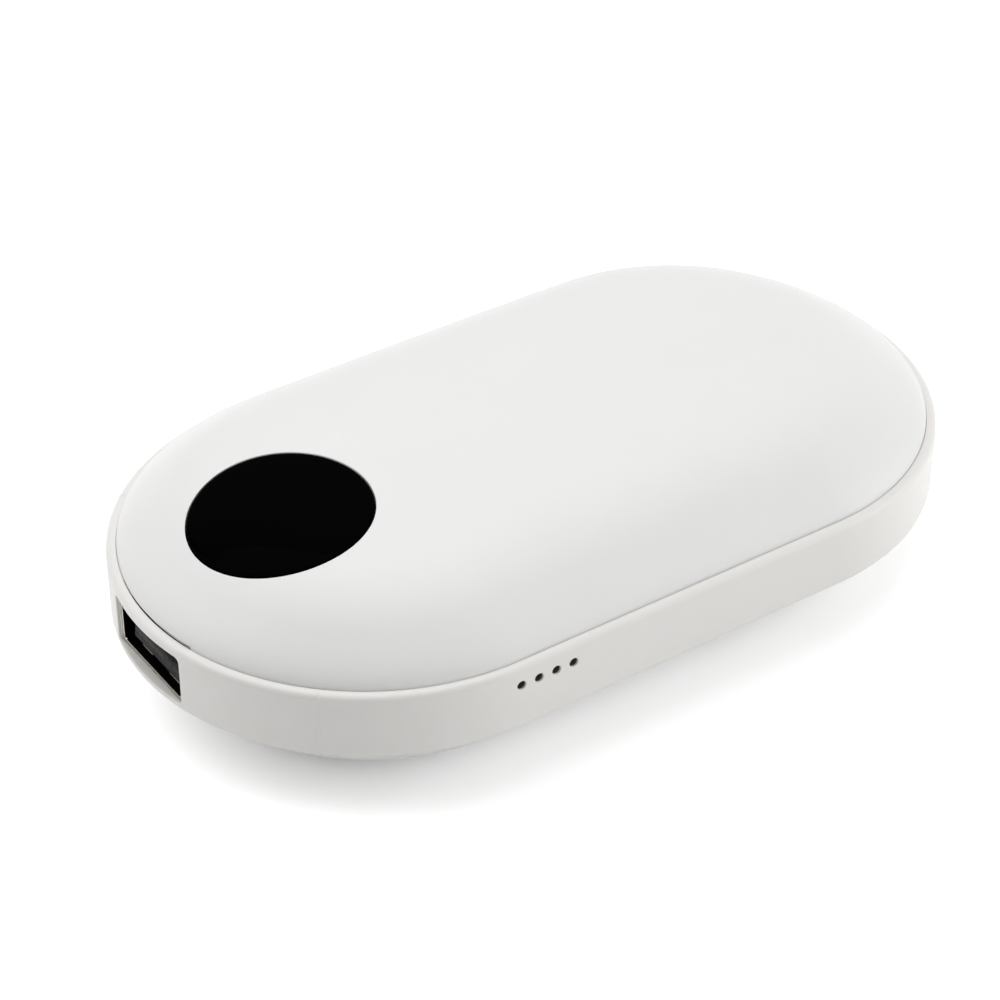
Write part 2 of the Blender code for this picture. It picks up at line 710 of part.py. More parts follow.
def middle_frame():
    """Band between the shells, with a rebate and a catch rib inside, the openings and the light holes."""
    rib_radius = BAND_INNER_RADIUS - CATCH_RIB_DEPTH
    section = [
        (BAND_INNER_RADIUS, LOWER_SEAM + REBATE_DEPTH),
        (REBATE_RADIUS, LOWER_SEAM + REBATE_DEPTH),
        (REBATE_RADIUS, LOWER_SEAM),
        *fillet_points((END_RADIUS - LOWER_FILLET, LOWER_SEAM + LOWER_FILLET), LOWER_FILLET, -90, 0),
        *fillet_points((END_RADIUS - LIP_FILLET, UPPER_SEAM - LIP_FILLET), LIP_FILLET, 0, 90),
        (REBATE_RADIUS, UPPER_SEAM),
        (REBATE_RADIUS, UPPER_SEAM - REBATE_DEPTH),
        (BAND_INNER_RADIUS, UPPER_SEAM - REBATE_DEPTH),
        (BAND_INNER_RADIUS, MIDDLE + CATCH_RIB_HEIGHT / 2),
        (rib_radius, MIDDLE + CATCH_RIB_HEIGHT / 2),
        (rib_radius, MIDDLE - CATCH_RIB_HEIGHT / 2),
        (BAND_INNER_RADIUS, MIDDLE - CATCH_RIB_HEIGHT / 2),
    ]
    rings = [[(x, y, height) for x, y in stadium(radius)] for radius, height in section]
    made = loft("middle_frame", rings, BAND_WHITE, closed=True)
    outline, middle = port_outline()
    opening = along(
        "X",
        outline,
        -HALF_LENGTH - OVERRUN,
        SOCKET_FACE_X,
        (0, middle),
        "port_cutter",
        None,
    )
    pocket_half_width = SOCKET_WIDTH / 2 + SOCKET_GAP
    pocket_low = min(SOCKET_BOTTOM - SOCKET_GAP, BOTTOM_RIM)
    pocket_high = max(SOCKET_TOP + SOCKET_GAP, TOP_RIM)
    pocket = along(
        "X",
        rounded_rectangle(2 * pocket_half_width, pocket_high - pocket_low, SOCKET_CORNER),
        SOCKET_FACE_X - SOCKET_GAP,
        -HALF_STRAIGHT - math.sqrt(rib_radius**2 - pocket_half_width**2) + OVERRUN,
        (0, (pocket_low + pocket_high) / 2),
        "socket_pocket_cutter",
        None,
    )
    inlet_centre = (inlet_x(), inlet_height())
    inlet_hole = along(
        "Y",
        rounded_rectangle(INLET_WIDTH + 2 * SEAT_GAP, INLET_HEIGHT + 2 * SEAT_GAP, SOCKET_CORNER),
        BAND_INNER_RADIUS - CATCH_RIB_DEPTH - OVERRUN,
        END_RADIUS + OVERRUN,
        inlet_centre,
        "inlet_cutter",
        None,
    )
    cut(made, opening, pocket, inlet_hole)
    for number, x in enumerate(light_places(), 1):
        hole = along(
            "Y",
            circle(LIGHT_HOLE_RADIUS, SMALL_STEPS),
            -END_RADIUS - OVERRUN,
            -BAND_INNER_RADIUS + CATCH_RIB_DEPTH,
            (x, light_height()),
            f"light_hole_cutter_{number}",
            None,
        )
        cut(made, hole)
    return made


# Button and switch


def ring_round_button(radius, height):
    """Ring of points round the button's axis at a height given as a function of the plan."""
    return [(BUTTON_X + x, y, height(BUTTON_X + x, y)) for x, y in circle(radius, BUTTON_STEPS)]


def cap_bottom(x, y):
    """Height of the button's lower face, which follows the dome's inner face."""
    return top_inside(x, y) - SEAT_GAP - FLANGE_THICKNESS


def button_cap():
    """Gloss disc that continues the dome, with a flange that holds it under the shell and a stem."""
    edge = BUTTON_RADIUS - RUNNING_GAP
    rings = [ring_round_button(share * FLANGE_RADIUS, cap_bottom) for share in reversed(BUTTON_RING_SHARES)]
    rings.append(ring_round_button(FLANGE_RADIUS, lambda x, y: top_inside(x, y) - SEAT_GAP))
    rings.append(ring_round_button(edge, lambda x, y: top_inside(x, y) - SEAT_GAP))
    rings += [ring_round_button(share * edge, top_outside) for share in BUTTON_RING_SHARES]
    made = loft("button_cap", rings, GLOSS_BLACK)
    stem = upright_rod(
        "button_stem_tool",
        (BUTTON_X, 0),
        [
            (STEM_RADIUS, switch_top() + PLUNGER_HEIGHT + SEAT_GAP),
            (STEM_RADIUS, cap_bottom(BUTTON_X, 0) + FLANGE_THICKNESS),
        ],
        None,
    )
    join(made, stem)
    return made


def guide_top():
    """Upper face of the guide plate, clear of the pressed button's lowest edge."""
    lowest = min(z for _, _, z in ring_round_button(FLANGE_RADIUS, cap_bottom))
    return lowest - BUTTON_TRAVEL - SEAT_GAP


def guide_bottom():
    """Lower face of the guide plate."""
    return guide_top() - GUIDE_THICKNESS


def button_guide():
    """Plate under the button, on the shell's posts, with a sleeve that keeps the stem upright."""
    front = BUTTON_X - GUIDE_FRONT_REACH
    back = lead_drop_x() - LEAD_RADIUS - SEAT_GAP
    outline = [(min(max(BUTTON_X + x, front), back), y) for x, y in circle(GUIDE_RADIUS, BUTTON_STEPS)]
    made = prism("button_guide", outline, guide_bottom(), guide_top(), INNER_PLASTIC)
    hub_radius = STEM_RADIUS + RUNNING_GAP + GUIDE_HUB_WALL
    hub = upright_rod(
        "guide_hub_tool",
        (BUTTON_X, 0),
        [(hub_radius, guide_top() - GUIDE_HUB_HEIGHT), (hub_radius, guide_top() - SINK)],
        None,
        ROUND_STEPS,
    )
    join(made, hub)
    bore = STEM_RADIUS + RUNNING_GAP
    low, high = guide_top() - GUIDE_HUB_HEIGHT - OVERRUN, guide_top() + OVERRUN
    cut(made, upright_rod("guide_bore_cutter", (BUTTON_X, 0), [(bore, low), (bore, high)], None, ROUND_STEPS))
    for number, place in enumerate(post_places(), 1):
        radius = POST_RADIUS + SEAT_GAP
        cut(made, upright_rod(f"guide_post_cutter_{number}", place, [(radius, low), (radius, high)], None))
    return made


def switch_top():
    """Height of the switch body's top."""
    return BOARD_TOP + SEAT_GAP + SWITCH_HEIGHT


def switch_body():
    """Body of the tact switch, with the well that its plunger slides in."""
    half = SWITCH_WIDTH / 2
    made = box(
        "switch_body",
        (BUTTON_X - half, -half, BOARD_TOP + SEAT_GAP),
        (BUTTON_X + half, half, switch_top()),
        BLACK_PLASTIC,
        SWITCH_FILLET,
    )
    well = PLUNGER_RADIUS + RUNNING_GAP
    floor = switch_top() - PLUNGER_INSERTION - BUTTON_TRAVEL - SEAT_GAP
    heights = [(well, floor), (well, switch_top() + OVERRUN)]
    cut(made, upright_rod("switch_well_cutter", (BUTTON_X, 0), heights, None))
    return made


def switch_plunger():
    """Plunger of the tact switch, which the button's stem presses."""
    return upright_rod(
        "switch_plunger",
        (BUTTON_X, 0),
        [(PLUNGER_RADIUS, switch_top() - PLUNGER_INSERTION), (PLUNGER_RADIUS, switch_top() + PLUNGER_HEIGHT)],
        TONGUE_PLASTIC,
    )


# Output socket


def socket_floor():
    """Height of the output socket's inner floor."""
    return SOCKET_BOTTOM + SOCKET_SHEET


def tongue_bottom():
    """Height of the tongue's lower face."""
    return socket_floor() + TONGUE_LIFT


def usb_socket_shell():
    """Folded sheet sleeve, open at the front, with two sprung fingers on its floor."""
    centre = (0, (SOCKET_TOP + SOCKET_BOTTOM) / 2)
    outer = rounded_rectangle(SOCKET_WIDTH, SOCKET_HEIGHT, SOCKET_CORNER)
    inner = rounded_rectangle(
        SOCKET_WIDTH - 2 * SOCKET_SHEET, SOCKET_HEIGHT - 2 * SOCKET_SHEET, SOCKET_CORNER - SOCKET_SHEET
    )
    back = SOCKET_FACE_X + SOCKET_LENGTH
    rings = []
    for outline, place in ((inner, SOCKET_FACE_X), (outer, SOCKET_FACE_X), (outer, back), (inner, back)):
        rings.append([(place, centre[0] + across, centre[1] + up) for across, up in outline])
    made = loft("usb_socket_shell", rings, DARK_STEEL, closed=True)
    for number, side in enumerate((1, -1), 1):
        start = SOCKET_FACE_X + FINGER_SETBACK
        across = side * FINGER_SPREAD / 2
        ridge = [
            (start, socket_floor() - SOCKET_SHEET / 2),
            (start + FINGER_LENGTH, socket_floor() - SOCKET_SHEET / 2),
            (start + FINGER_LENGTH * FINGER_CREST_SHARES[1], socket_floor() + FINGER_RISE),
            (start + FINGER_LENGTH * FINGER_CREST_SHARES[0], socket_floor() + FINGER_RISE),
        ]
        sides = (across - FINGER_WIDTH / 2, across + FINGER_WIDTH / 2)
        rings = [[(x, y, height) for x, height in ridge] for y in sides]
        join(made, loft(f"socket_finger_tool_{number}", rings, None, caps=True))
    return made


def usb_socket_tongue():
    """Moulded block that fills the back of the sleeve, and the tongue on it, with contact grooves."""
    back = SOCKET_FACE_X + SOCKET_LENGTH
    front = SOCKET_FACE_X + TONGUE_SETBACK
    block_front = back - SOCKET_BLOCK_LENGTH
    half = TONGUE_WIDTH / 2
    bottom = tongue_bottom()
    top = bottom + TONGUE_THICKNESS
    outline = [
        (block_front + SINK, -half),
        (block_front + SINK, half),
        (front + TONGUE_CHAMFER, half),
        (front, half - TONGUE_CHAMFER),
        (front, -half + TONGUE_CHAMFER),
        (front + TONGUE_CHAMFER, -half),
    ]
    made = prism("usb_socket_tongue", outline, bottom, top, TONGUE_PLASTIC)
    inside = SOCKET_SHEET + SEAT_GAP
    block = box(
        "socket_block_tool",
        (block_front, -SOCKET_WIDTH / 2 + inside, SOCKET_BOTTOM + inside),
        (back, SOCKET_WIDTH / 2 - inside, SOCKET_TOP - inside),
        None,
    )
    join(made, block)
    for number, (low, high) in enumerate(contact_boxes(SEAT_GAP), 1):
        cut(made, box(f"contact_groove_cutter_{number}", low, high, None))
    return made


def contact_boxes(clearance=0):
    """Low and high corners of the four contacts in the tongue's upper face, or of the grooves round them."""
    boxes = []
    top = tongue_bottom() + TONGUE_THICKNESS
    front = SOCKET_FACE_X + TONGUE_SETBACK + CONTACT_TIP_SETBACK
    halves = (CONTACT_INNER_SPREAD / 2, CONTACT_OUTER_SPREAD / 2)
    over = OVERRUN if clearance else 0
    for y in sorted((-halves[0], -halves[1], *halves)):
        low = (front - clearance, y - CONTACT_WIDTH / 2 - clearance / 2, top - CONTACT_THICKNESS - clearance)
        high = (front + CONTACT_LENGTH + clearance, y + CONTACT_WIDTH / 2 + clearance / 2, top + over)
        boxes.append((low, high))
    return boxes


def usb_contacts():
    """Four contacts in the tongue's grooves."""
    return [box(f"usb_contact_{number}", *ends, GOLD_PLATE) for number, ends in enumerate(contact_boxes(), 1)]


# Charging inlet


def inlet_x():
    """Place of the charging inlet along the part."""
    return -HALF_LENGTH + INLET_INSET


def inlet_height():
    """Height of the charging inlet's middle, as it stands on the board."""
    return BOARD_TOP + SEAT_GAP + INLET_HEIGHT / 2


def charge_inlet_shell():
    """Folded sheet sleeve of the charging inlet, open at the front."""
    front = END_RADIUS - INLET_RECESS
    back = front - INLET_LENGTH
    clear_width = INLET_WIDTH - 2 * INLET_SHEET
    clear_height = INLET_HEIGHT - 2 * INLET_SHEET
    outer = rounded_rectangle(INLET_WIDTH, INLET_HEIGHT, SOCKET_CORNER)
    inner = rounded_rectangle(clear_width, clear_height, SOCKET_CORNER - INLET_SHEET)
    rings = []
    for outline, place in ((inner, front), (outer, front), (outer, back), (inner, back)):
        rings.append([(inlet_x() + across, place, inlet_height() + up) for across, up in outline])
    return loft("charge_inlet_shell", rings, STEEL, closed=True)


def charge_inlet_tongue():
    """Block that fills the back of the inlet's sleeve, with the thin tongue that it carries."""
    front = END_RADIUS - INLET_RECESS
    back = front - INLET_LENGTH
    inside = INLET_SHEET + SEAT_GAP
    half = INLET_TONGUE_WIDTH / 2
    made = box(
        "charge_inlet_tongue",
        (inlet_x() - half, back + INLET_BLOCK_LENGTH - SINK, inlet_height() - INLET_TONGUE_THICKNESS / 2),
        (inlet_x() + half, front - INLET_TONGUE_SETBACK, inlet_height() + INLET_TONGUE_THICKNESS / 2),
        BLACK_PLASTIC,
    )
    half_width = INLET_WIDTH / 2 - inside
    half_height = INLET_HEIGHT / 2 - inside
    block = box(
        "inlet_block_tool",
        (inlet_x() - half_width, back, inlet_height() - half_height),
        (inlet_x() + half_width, back + INLET_BLOCK_LENGTH, inlet_height() + half_height),
        None,
    )
    join(made, block)
    return made


# Status lights


def light_places():
    """Places of the light holes along the part."""
    return [-HALF_LENGTH + LIGHT_INSET + number * LIGHT_PITCH for number in range(LIGHT_COUNT)]


def light_height():
    """Height of the light holes."""
    return UPPER_SEAM - LIGHT_DROP


def light_line():
    """Distance of the lights' row from the middle plane, clear of the band's catch rib."""
    return BAND_INNER_RADIUS - CATCH_RIB_DEPTH - 2 * SEAT_GAP - GUIDE_FINGER_WIDTH


def status_lights():
    """Four small lights on the board, which look up into the light guide."""
    made = []
    for number, x in enumerate(light_places(), 1):
        low = (x - LED_WIDTH / 2, -light_line() - LED_LENGTH / 2, BOARD_TOP + SEAT_GAP)
        high = (x + LED_WIDTH / 2, -light_line() + LED_LENGTH / 2, BOARD_TOP + SEAT_GAP + LED_HEIGHT)
        made.append(box(f"status_light_{number}", low, high, LED_YELLOW))
    return made


def light_guide():
    """Clear comb over the lights: a bar on two feet, with a finger that turns out to each hole."""
    places = light_places()
    half = GUIDE_FINGER_WIDTH / 2
    led_top = BOARD_TOP + SEAT_GAP + LED_HEIGHT
    bar_low = led_top + SEAT_GAP
    inner, outer = -light_line() + half, -light_line() - half
    foot_ends = (places[0] - LED_WIDTH / 2 - SEAT_GAP, places[-1] + LED_WIDTH / 2 + SEAT_GAP)
    made = box(
        "light_guide",
        (foot_ends[0] - GUIDE_FOOT_LENGTH, outer, bar_low),
        (foot_ends[1] + GUIDE_FOOT_LENGTH, inner, bar_low + GUIDE_BAR_HEIGHT),
        CLEAR_GUIDE,
    )
    for number, start in enumerate((foot_ends[0] - GUIDE_FOOT_LENGTH, foot_ends[1]), 1):
        low = (start, outer, BOARD_TOP + SEAT_GAP)
        high = (start + GUIDE_FOOT_LENGTH, inner, bar_low + SINK)
        join(made, box(f"guide_foot_tool_{number}", low, high, None))
    low, high = bar_low + GUIDE_BAR_HEIGHT - SINK, light_height() + half
    ring = [
        (inner - SINK / 2, low),
        (outer + SINK / 2, low),
        (outer + SINK / 2, light_height() - half),
        (-BAND_INNER_RADIUS + SEAT_GAP, light_height() - half),
        (-BAND_INNER_RADIUS + SEAT_GAP, high),
        (inner - SINK / 2 - GUIDE_FINGER_CHAMFER, high),
        (inner - SINK / 2, high - GUIDE_FINGER_CHAMFER),
    ]
    for number, x in enumerate(places, 1):
        sides = (x - GUIDE_FINGER_THICKNESS / 2, x + GUIDE_FINGER_THICKNESS / 2)
        rings = [[(side, y, z) for y, z in ring] for side in sides]
        join(made, loft(f"guide_finger_tool_{number}", rings, None, caps=True))
    return made


# Main board


def screw_places():
    """Two screws near the socket and one at the end of each arm of the board."""
    near_y = SOCKET_WIDTH / 2 + BOARD_PART_GAP + INDUCTOR_WIDTH + SEAT_GAP + SCREW_HEAD_RADIUS
    near_x = -HALF_STRAIGHT - math.sqrt((BOARD_RADIUS - BOARD_SCREW_INSET) ** 2 - near_y**2)
    arm_y = (BOARD_RADIUS + board_arm_inner()) / 2
    return [(near_x, near_y), (near_x, -near_y), (arm_screw_x(), arm_y), (arm_screw_x(), -arm_y)]


def arm_screw_x():
    """Place of the arms' screws, just past the charging inlet and the light guide."""
    inlet_end = inlet_x() + INLET_WIDTH / 2
    guide_end = light_places()[-1] + LED_WIDTH / 2 + SEAT_GAP + GUIDE_FOOT_LENGTH
    return max(inlet_end, guide_end) + SEAT_GAP + SCREW_HEAD_RADIUS


def board_arm_inner():
    """Distance from the middle plane to the inner edge of the board's arms, clear of the cells."""
    return CELL_Y + CELL_RADIUS + CELL_SIDE - CELL_SPACING / 2


def screw_tip():
    """Height of the board screws' tips."""
    return BOARD_TOP + SEAT_GAP - SCREW_LENGTH


def board_throat():
    """Edge of the board behind the near cell holder."""
    return holder_face("near") - 2 * HOLDER_BACK


def main_board():
    """Horseshoe board round the near ends of the cells, under the socket and the switch."""
    arm_end = arm_screw_x() + BOARD_SCREW_MARGIN
    throat = board_throat()
    arm = board_arm_inner()
    outline = [(arm_end, BOARD_RADIUS)]
    for step in range(ARC_STEPS + 1):
        angle = math.pi * (0.5 + step / ARC_STEPS)
        outline.append((-HALF_STRAIGHT + BOARD_RADIUS * math.cos(angle), BOARD_RADIUS * math.sin(angle)))
    outline += [(arm_end, -BOARD_RADIUS), (arm_end, -arm), (throat, -arm), (throat, arm), (arm_end, arm)]
    made = prism("main_board", outline, BOARD_BOTTOM, BOARD_TOP, BOARD_GREEN)
    bore = SCREW_RADIUS + SEAT_GAP
    for number, place in enumerate(screw_places(), 1):
        low, high = BOARD_BOTTOM - OVERRUN, BOARD_TOP + OVERRUN
        cut(made, upright_rod(f"board_hole_cutter_{number}", place, [(bore, low), (bore, high)], None))
    return made


def board_screws():
    """Four pan-head screws that hold the board on the bottom shell's bosses."""
    made = []
    seat = BOARD_TOP + SEAT_GAP
    for number, place in enumerate(screw_places(), 1):
        screw = upright_rod(
            f"board_screw_{number}",
            place,
            [
                (SCREW_RADIUS / 2, screw_tip()),
                (SCREW_RADIUS, screw_tip() + SCREW_RADIUS),
                (SCREW_RADIUS, seat),
                (SCREW_HEAD_RADIUS, seat),
                (SCREW_HEAD_RADIUS, seat + SCREW_HEAD_HEIGHT / 2),
                (SCREW_HEAD_RADIUS - SCREW_HEAD_HEIGHT / 2, seat + SCREW_HEAD_HEIGHT),
            ],
            STEEL,
        )
        top = seat + SCREW_HEAD_HEIGHT
        heights = [(SCREW_SOCKET_RADIUS, top - SCREW_SOCKET_DEPTH), (SCREW_SOCKET_RADIUS, top + OVERRUN)]
        cut(screw, upright_rod(f"screw_socket_cutter_{number}", place, heights, None, HEXAGON_STEPS))
        made.append(screw)
    return made


def board_part(name, inset, side, width, height, fillet):
    """Square black part on the board beside the socket, its middle at an inset from the near end."""
    x = -HALF_LENGTH + inset
    y = side * (SOCKET_WIDTH / 2 + BOARD_PART_GAP + width / 2)
    low = (x - width / 2, y - width / 2, BOARD_TOP + SEAT_GAP)
    high = (x + width / 2, y + width / 2, BOARD_TOP + SEAT_GAP + height)
    return box(name, low, high, BLACK_PLASTIC, fillet)


# Cells, holders, strips and leads


def cell(name, side):
    """Round cell lying along X, with rounded ends and a raised cap at its far end."""
    cap = CELL_RADIUS * CELL_CAP_RADIUS_SHARE
    stations = [
        (CELL_RADIUS - CELL_EDGE_FILLET, CELL_NEAR_X),
        (CELL_RADIUS, CELL_NEAR_X + CELL_EDGE_FILLET),
        (CELL_RADIUS, CELL_FAR_X - 2 * CELL_EDGE_FILLET),
        (CELL_RADIUS - CELL_EDGE_FILLET, CELL_FAR_X - CELL_EDGE_FILLET),
        (cap, CELL_FAR_X - CELL_EDGE_FILLET),
        (cap, CELL_FAR_X),
    ]
    rings = [
        [(place, side * CELL_Y + across, CELL_MIDDLE + up) for across, up in circle(radius, ROUND_STEPS)]
        for radius, place in stations
    ]
    return loft(name, rings, CELL_WRAP, caps=True)


def holder_face(end):
    """Face of a cell holder's back wall that looks at the nickel strip."""
    if end == "near":
        return CELL_NEAR_X - 2 * SEAT_GAP - STRIP_THICKNESS
    return CELL_FAR_X + 2 * SEAT_GAP + STRIP_THICKNESS


def holder_middle(end):
    """Middle of a cell holder's back wall, where the ribs of both shells press on it."""
    side = -1 if end == "near" else 1
    return holder_face(end) + side * HOLDER_BACK / 2


def cell_holder(end):
    """Plate behind the cells with a pocket for each, and a window behind each pocket for its tab."""
    side = -1 if end == "near" else 1
    face = holder_face(end)
    back = face + side * HOLDER_BACK
    front = face - side * (HOLDER_POCKET_DEPTH + SEAT_GAP)
    width = 2 * (CELL_Y + CELL_RADIUS - HOLDER_SIDE_INSET)
    outline = rounded_rectangle(width, HOLDER_HEIGHT, CELL_EDGE_FILLET)
    span = sorted((back, front))
    made = along("X", outline, *span, (0, CELL_MIDDLE), f"{end}_cell_holder", INNER_PLASTIC)
    for number, cell_side in enumerate((1, -1), 1):
        ends = sorted((face, front - side * OVERRUN))
        pocket = circle(CELL_RADIUS + SEAT_GAP, ROUND_STEPS)
        centre = (cell_side * CELL_Y, CELL_MIDDLE)
        cut(made, along("X", pocket, *ends, centre, f"{end}_pocket_cutter_{number}", None))
        ends = sorted((face - side * OVERRUN, back + side * OVERRUN))
        window = circle(HOLDER_HEIGHT / 2 * HOLDER_WINDOW_RADIUS_SHARE, SMALL_STEPS)
        cut(made, along("X", window, *ends, centre, f"{end}_window_cutter_{number}", None))
    half_strip = (STRIP_HEIGHT + 2 * SEAT_GAP) / 2
    slot_ends = sorted((face, front - side * OVERRUN))
    slot = box(
        f"{end}_strip_slot_cutter",
        (slot_ends[0], -CELL_Y, CELL_MIDDLE - half_strip),
        (slot_ends[1], CELL_Y, CELL_MIDDLE + half_strip),
        None,
    )
    cut(made, slot)
    return made


def cell_strip(end):
    """Nickel strip across the two cells, which joins them side by side."""
    face = holder_face(end)
    side = -1 if end == "near" else 1
    ends = sorted((face - side * SEAT_GAP, face - side * (SEAT_GAP + STRIP_THICKNESS)))
    half = CELL_Y + STRIP_OVERHANG
    low = (ends[0], -half, CELL_MIDDLE - STRIP_HEIGHT / 2)
    high = (ends[1], half, CELL_MIDDLE + STRIP_HEIGHT / 2)
    return box(f"{end}_cell_strip", low, high, NICKEL)


def lead_drop_x():
    """Place behind the near holder where the far cell's lead comes down to the board."""
    return holder_face("near") - HOLDER_BACK - SEAT_GAP - LEAD_RADIUS


def cell_leads():
    """One lead from each nickel strip to the board, the far one along the groove between the cells."""
    groove = CELL_MIDDLE + math.sqrt((CELL_RADIUS + LEAD_RADIUS + SEAT_GAP) ** 2 - CELL_Y**2)
    over = CELL_MIDDLE + HOLDER_HEIGHT / 2 + SEAT_GAP + LEAD_RADIUS
    drop = lead_drop_x()
    beyond = holder_face("far") + HOLDER_BACK + 2 * SEAT_GAP + LEAD_RADIUS
    solder_x = board_throat() - 2 * LEAD_RADIUS
    solder_z = BOARD_TOP + SEAT_GAP
    side_y = SWITCH_WIDTH / 2 + SEAT_GAP + 2 * LEAD_RADIUS
    far_route = [
        (holder_face("far"), CELL_Y, CELL_MIDDLE),
        (beyond, CELL_Y - LEAD_RADIUS, CELL_MIDDLE + LEAD_RADIUS),
        (beyond, RIB_START + LEAD_RADIUS, over - 4 * LEAD_RADIUS),
        (beyond - HOLDER_BACK / 2, LEAD_RADIUS, over),
        (holder_face("far") - HOLDER_POCKET_DEPTH, 0, over),
        (CELL_FAR_X - 3 * HOLDER_POCKET_DEPTH, 0, groove),
        ((CELL_FAR_X + CELL_NEAR_X) / 2, 0, groove),
        (CELL_NEAR_X + 3 * HOLDER_POCKET_DEPTH, 0, groove),
        (holder_face("near") + HOLDER_POCKET_DEPTH, 0, over),
        (holder_face("near") - HOLDER_BACK / 2, 0, over),
        (drop, 0, over - 2 * LEAD_RADIUS),
        (drop, 0, CELL_MIDDLE + STRIP_HEIGHT / 2),
        (solder_x, side_y, (CELL_MIDDLE + solder_z) / 2),
        (solder_x, side_y, solder_z),
    ]
    near_route = [
        (holder_face("near"), CELL_Y, CELL_MIDDLE),
        (drop, CELL_Y, CELL_MIDDLE),
        (solder_x, CELL_Y, (CELL_MIDDLE + solder_z) / 2),
        (solder_x, CELL_Y, solder_z),
    ]
    return [
        tube("far_cell_lead", smooth_route(far_route), LEAD_RADIUS, LEAD_RED),
        tube("near_cell_lead", smooth_route(near_route), LEAD_RADIUS, LEAD_BLACK),
    ]


# Heaters


def heater_sheets():
    """Under each shell, an aluminium spreader against the wall and a film heater on it."""
    x_range = (-HALF_LENGTH + HEATER_NEAR_INSET, HALF_LENGTH - HEATER_FAR_INSET)
    y_range = (-HEATER_WIDTH / 2, HEATER_WIDTH / 2)
    film_x = (x_range[0] + SPREADER_MARGIN, x_range[1] - SPREADER_MARGIN)
    film_y = (y_range[0] + SPREADER_MARGIN, y_range[1] - SPREADER_MARGIN)
    spreader_far = SEAT_GAP + SPREADER_THICKNESS
    film_near = spreader_far + SEAT_GAP
    film_far = film_near + FILM_THICKNESS
    for shell_name, wall, side in (("top", top_inside, -1), ("bottom", bottom_inside, 1)):
        layers = (
            ("heat_spreader", x_range, y_range, SEAT_GAP, spreader_far, ALUMINIUM),
            ("heater_film", film_x, film_y, film_near, film_far, FILM_AMBER),
        )
        for name, xs, ys, near, far, finish in layers:
            offsets = sorted((side * near, side * far))
            draped(
                f"{shell_name}_{name}",
                xs,
                ys,
                lambda x, y, wall=wall, offset=offsets[1]: wall(x, y) + offset,
                lambda x, y, wall=wall, offset=offsets[0]: wall(x, y) + offset,
                finish,
            )
    return film_far


def temperature_sensor(film_far):
    """Bead against the top heater film, in the groove between the cells."""
    start = -HALF_LENGTH + HEATER_NEAR_INSET + 2 * SPREADER_MARGIN
    x_range = (start, start + SENSOR_LENGTH)
    y_range = (-SENSOR_WIDTH / 2, SENSOR_WIDTH / 2)
    gap = film_far + SEAT_GAP
    return draped(
        "temperature_sensor",
        x_range,
        y_range,
        lambda x, y: top_inside(x, y) - gap,
        lambda x, y: top_inside(x, y) - gap - SENSOR_HEIGHT,
        BLACK_PLASTIC,
        2,
        2,
    )


def build():
    """Make every piece of the hand warmer in an empty scene."""
    clear_scene()
    top_shell()
    bottom_shell()
    middle_frame()
    button_guide()
    switch_body()
    carry("button_axis", (BUTTON_X, 0, UPPER_SEAM), button_cap(), switch_plunger())
    usb_socket_shell()
    usb_socket_tongue()
    usb_contacts()
    charge_inlet_shell()
    charge_inlet_tongue()
    status_lights()
    light_guide()
    main_board()
    board_screws()
    board_part("control_chip", CHIP_INSET, -1, CHIP_WIDTH, CHIP_HEIGHT, 0)
    board_part("boost_inductor", INDUCTOR_INSET, 1, INDUCTOR_WIDTH, INDUCTOR_HEIGHT, INDUCTOR_FILLET)
    cell("front_cell", -1)
    cell("back_cell", 1)
    for end in ("near", "far"):
        cell_holder(end)
        cell_strip(end)
    cell_leads()
    temperature_sensor(heater_sheets())


build()
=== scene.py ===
"""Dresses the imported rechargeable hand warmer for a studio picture.

Sizes are in millimetres, as on the part's drawing, and turn to metres where a mesh is made.
"""

from __future__ import annotations

import json
import logging
import math
from dataclasses import dataclass, field
from enum import Enum
from typing import Callable, Iterable, Sequence
import bmesh
import bpy
from mathutils import Matrix, Vector
from mathutils.geometry import delaunay_2d_cdt


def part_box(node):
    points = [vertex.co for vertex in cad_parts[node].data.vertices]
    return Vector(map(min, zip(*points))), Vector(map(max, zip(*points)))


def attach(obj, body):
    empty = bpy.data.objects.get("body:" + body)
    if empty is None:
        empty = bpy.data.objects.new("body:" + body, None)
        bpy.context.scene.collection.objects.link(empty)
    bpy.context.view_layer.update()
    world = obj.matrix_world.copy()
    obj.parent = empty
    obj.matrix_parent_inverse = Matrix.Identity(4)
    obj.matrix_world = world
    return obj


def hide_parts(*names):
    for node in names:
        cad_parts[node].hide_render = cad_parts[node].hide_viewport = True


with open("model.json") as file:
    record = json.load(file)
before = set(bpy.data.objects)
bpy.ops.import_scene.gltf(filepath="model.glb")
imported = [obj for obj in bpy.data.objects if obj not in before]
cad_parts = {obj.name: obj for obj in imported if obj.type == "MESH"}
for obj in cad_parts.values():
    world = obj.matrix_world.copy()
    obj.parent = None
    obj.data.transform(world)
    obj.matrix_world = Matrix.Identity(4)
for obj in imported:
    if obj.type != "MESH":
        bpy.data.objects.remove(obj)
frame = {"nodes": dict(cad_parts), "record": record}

LOG = logging.getLogger("hand_warmer")
MM = 0.001

Plan = tuple[float, float]
Point = tuple[float, float, float]
Height = Callable[[float, float], float]


def node_box(name: str) -> tuple[Vector, Vector]:
    """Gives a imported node's lowest and highest corners, in millimetres."""
    low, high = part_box(name)
    return Vector(low) / MM, Vector(high) / MM


# Meshes


